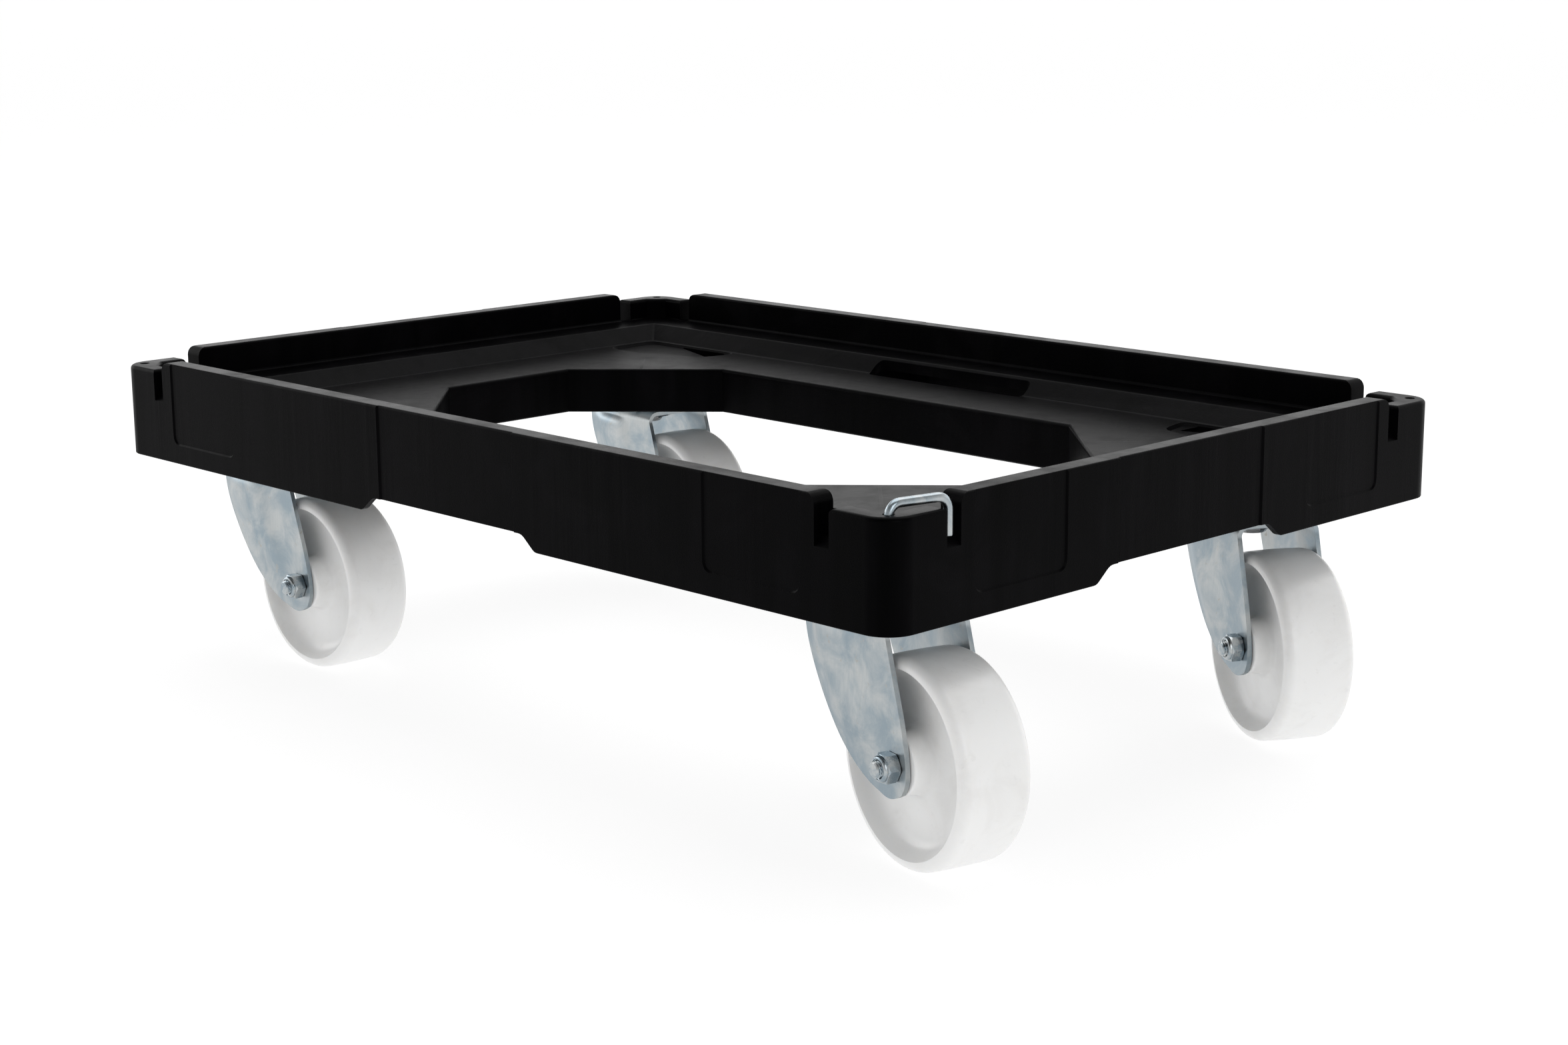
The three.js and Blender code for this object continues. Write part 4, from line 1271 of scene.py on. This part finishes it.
for name in CORNERS:
    ball_ring(name)
    keep_node(name + "_kingpin", OILED_STEEL)
    keep_node(name + "_axle_sleeve", OILED_STEEL)
    keep_node(name + "_lower_race", ZINC_SCREW)
keep_node("hook_retainer", OILED_STEEL)
print("bearing pieces for", len(CORNERS), "castors")

# %% [markdown]
# ## The coupling hook
# The hook is one bent wire: a pin that stands in the post's hole, a bar over the post, and a leg
# that hangs in the slot of the next dolly, or here in its own. A bent wire keeps its round
# section through every bend, so it is made as a path of straight runs and true arcs, with a
# ring of points square to the path at each step. Its ends are cut and slightly rounded.

# %% The hook's path
WIRE = 2.15 * MM
BEND = 5.6 * MM
hook_low, hook_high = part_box("coupling_hook")
PIN = Vector(JOINTS["hook_swing"]["pos_m"])
BAR_Z = hook_high.z - WIRE - 0.05 * MM
LEG_FOOT = 160.0 * MM
leg_xy = Vector((hook_high.x - WIRE - 0.1 * MM, hook_high.y - WIRE - 0.1 * MM))


def hook_path(steps=10):
    """Points and directions along the middle of the wire."""
    along = (leg_xy - PIN.xy).normalized()
    flat = Vector((along.x, along.y, 0))
    up = Vector((0, 0, 1))
    pin = Vector((PIN.x, PIN.y, 0))
    leg = Vector((leg_xy.x, leg_xy.y, 0))
    path = [(pin + up * hook_low.z, up), (pin + up * (hook_low.z + 0.4 * MM), up)]
    for foot, inwards, start in ((pin, flat, 0), (leg, -flat, 90)):
        centre = foot + inwards * BEND + up * (BAR_Z - BEND)
        for i in range(steps + 1):
            a = math.radians(start + 90 * i / steps)
            path.append((centre - flat * BEND * math.cos(a) + up * BEND * math.sin(a),
                         (flat * math.sin(a) + up * math.cos(a)).normalized()))
    path += [(leg + up * (LEG_FOOT + 0.5 * MM), -up), (leg + up * LEG_FOOT, -up)]
    return path, flat.cross(up).normalized()


def wire_shape(path, side, segments=24):
    rings = []
    for number, (point, direction) in enumerate(path):
        other = direction.cross(side).normalized()
        end = number in (0, len(path) - 1)
        radius = WIRE - 0.5 * MM if end else WIRE
        rings.append([tuple(point + side * a + other * b) for a, b, _ in circle(radius, 0, segments)])
    return loft(rings)


hook = mesh_object("bent_wire_hook", wire_shape(*hook_path()))
shade(hook, math.radians(35))
finish_piece(hook, "hook", ZINC_WIRE, ["coupling_hook"])
print("hook faces:", face_count(hook), "leg at", [round(v / MM, 1) for v in leg_xy])

# %% [markdown]
# ## Floor and light
# A black object on white needs light that draws its edges. A broad panel overhead and a bright
# surround behind give the wall tops their grey, and two upright panels at the sides put a thin
# line on every step in the faces. The floor is plain and pale. The side towards the camera is
# kept darker, so the near faces stay black.

# %% The floor
FLOOR_SIZE = 60.0


def pale_floor():
    floor = mesh_object("floor", box(-FLOOR_SIZE, FLOOR_SIZE, -FLOOR_SIZE, FLOOR_SIZE, -0.02, -0.0002))
    material = new_material(
        "pale_floor", Roughness=0.9, Specular_IOR_Level=0.1, Emission_Strength=0.82,
        Base_Color=(0.22, 0.22, 0.22, 1.0), Emission_Color=(1.0, 1.0, 1.0, 1.0))[0]
    floor.data.materials.append(material)


pale_floor()
print("floor in place")


# %% Lights and surround
def panel_light(name, position, target, width, height, power):
    data = bpy.data.lights.new(name, "AREA")
    data.shape = "RECTANGLE"
    data.size = width
    data.size_y = height
    data.energy = power
    light = new_object(name, data)
    light.location = position
    light.rotation_euler = (Vector(target) - Vector(position)).to_track_quat("-Z", "Y").to_euler()
    return light


panel_light("overhead_panel", (-0.3, 0.6, 2.6), (0, 0, 0), 3.0, 3.0, 45)
panel_light("left_panel", (-2.6, -0.9, 0.9), (0, 0, 0.12), 1.2, 1.6, 9)
panel_light("right_panel", (2.4, -0.9, 1.2), (0, 0, 0.12), 1.2, 1.6, 13)

world = bpy.data.worlds.new("surround")
scene.world = world
world.use_nodes = True
sky = world.node_tree
towards = add(sky, "ShaderNodeTexCoord")
facing = add(sky, "ShaderNodeVectorMath", {
    0: towards.outputs["Generated"], 1: (-0.72, 0.69, 0.0)}, operation="DOT_PRODUCT")
spread = soft_range(sky, facing.outputs["Value"], -0.6, 0.5, 0.58, 1.6)
height = add(sky, "ShaderNodeSeparateXYZ", {"Vector": towards.outputs["Generated"]})
fall_off = soft_range(sky, height.outputs["Z"], 0.28, 0.7, 1.0, 0.4)
strength = add(sky, "ShaderNodeMath", {
    0: spread, 1: fall_off}, operation="MULTIPLY")
sky.links.new(strength.outputs["Value"], sky.nodes["Background"].inputs["Strength"])
sky.nodes["Background"].inputs["Color"].default_value = (1, 1, 1, 1)
scene.view_settings.view_transform = "Standard"
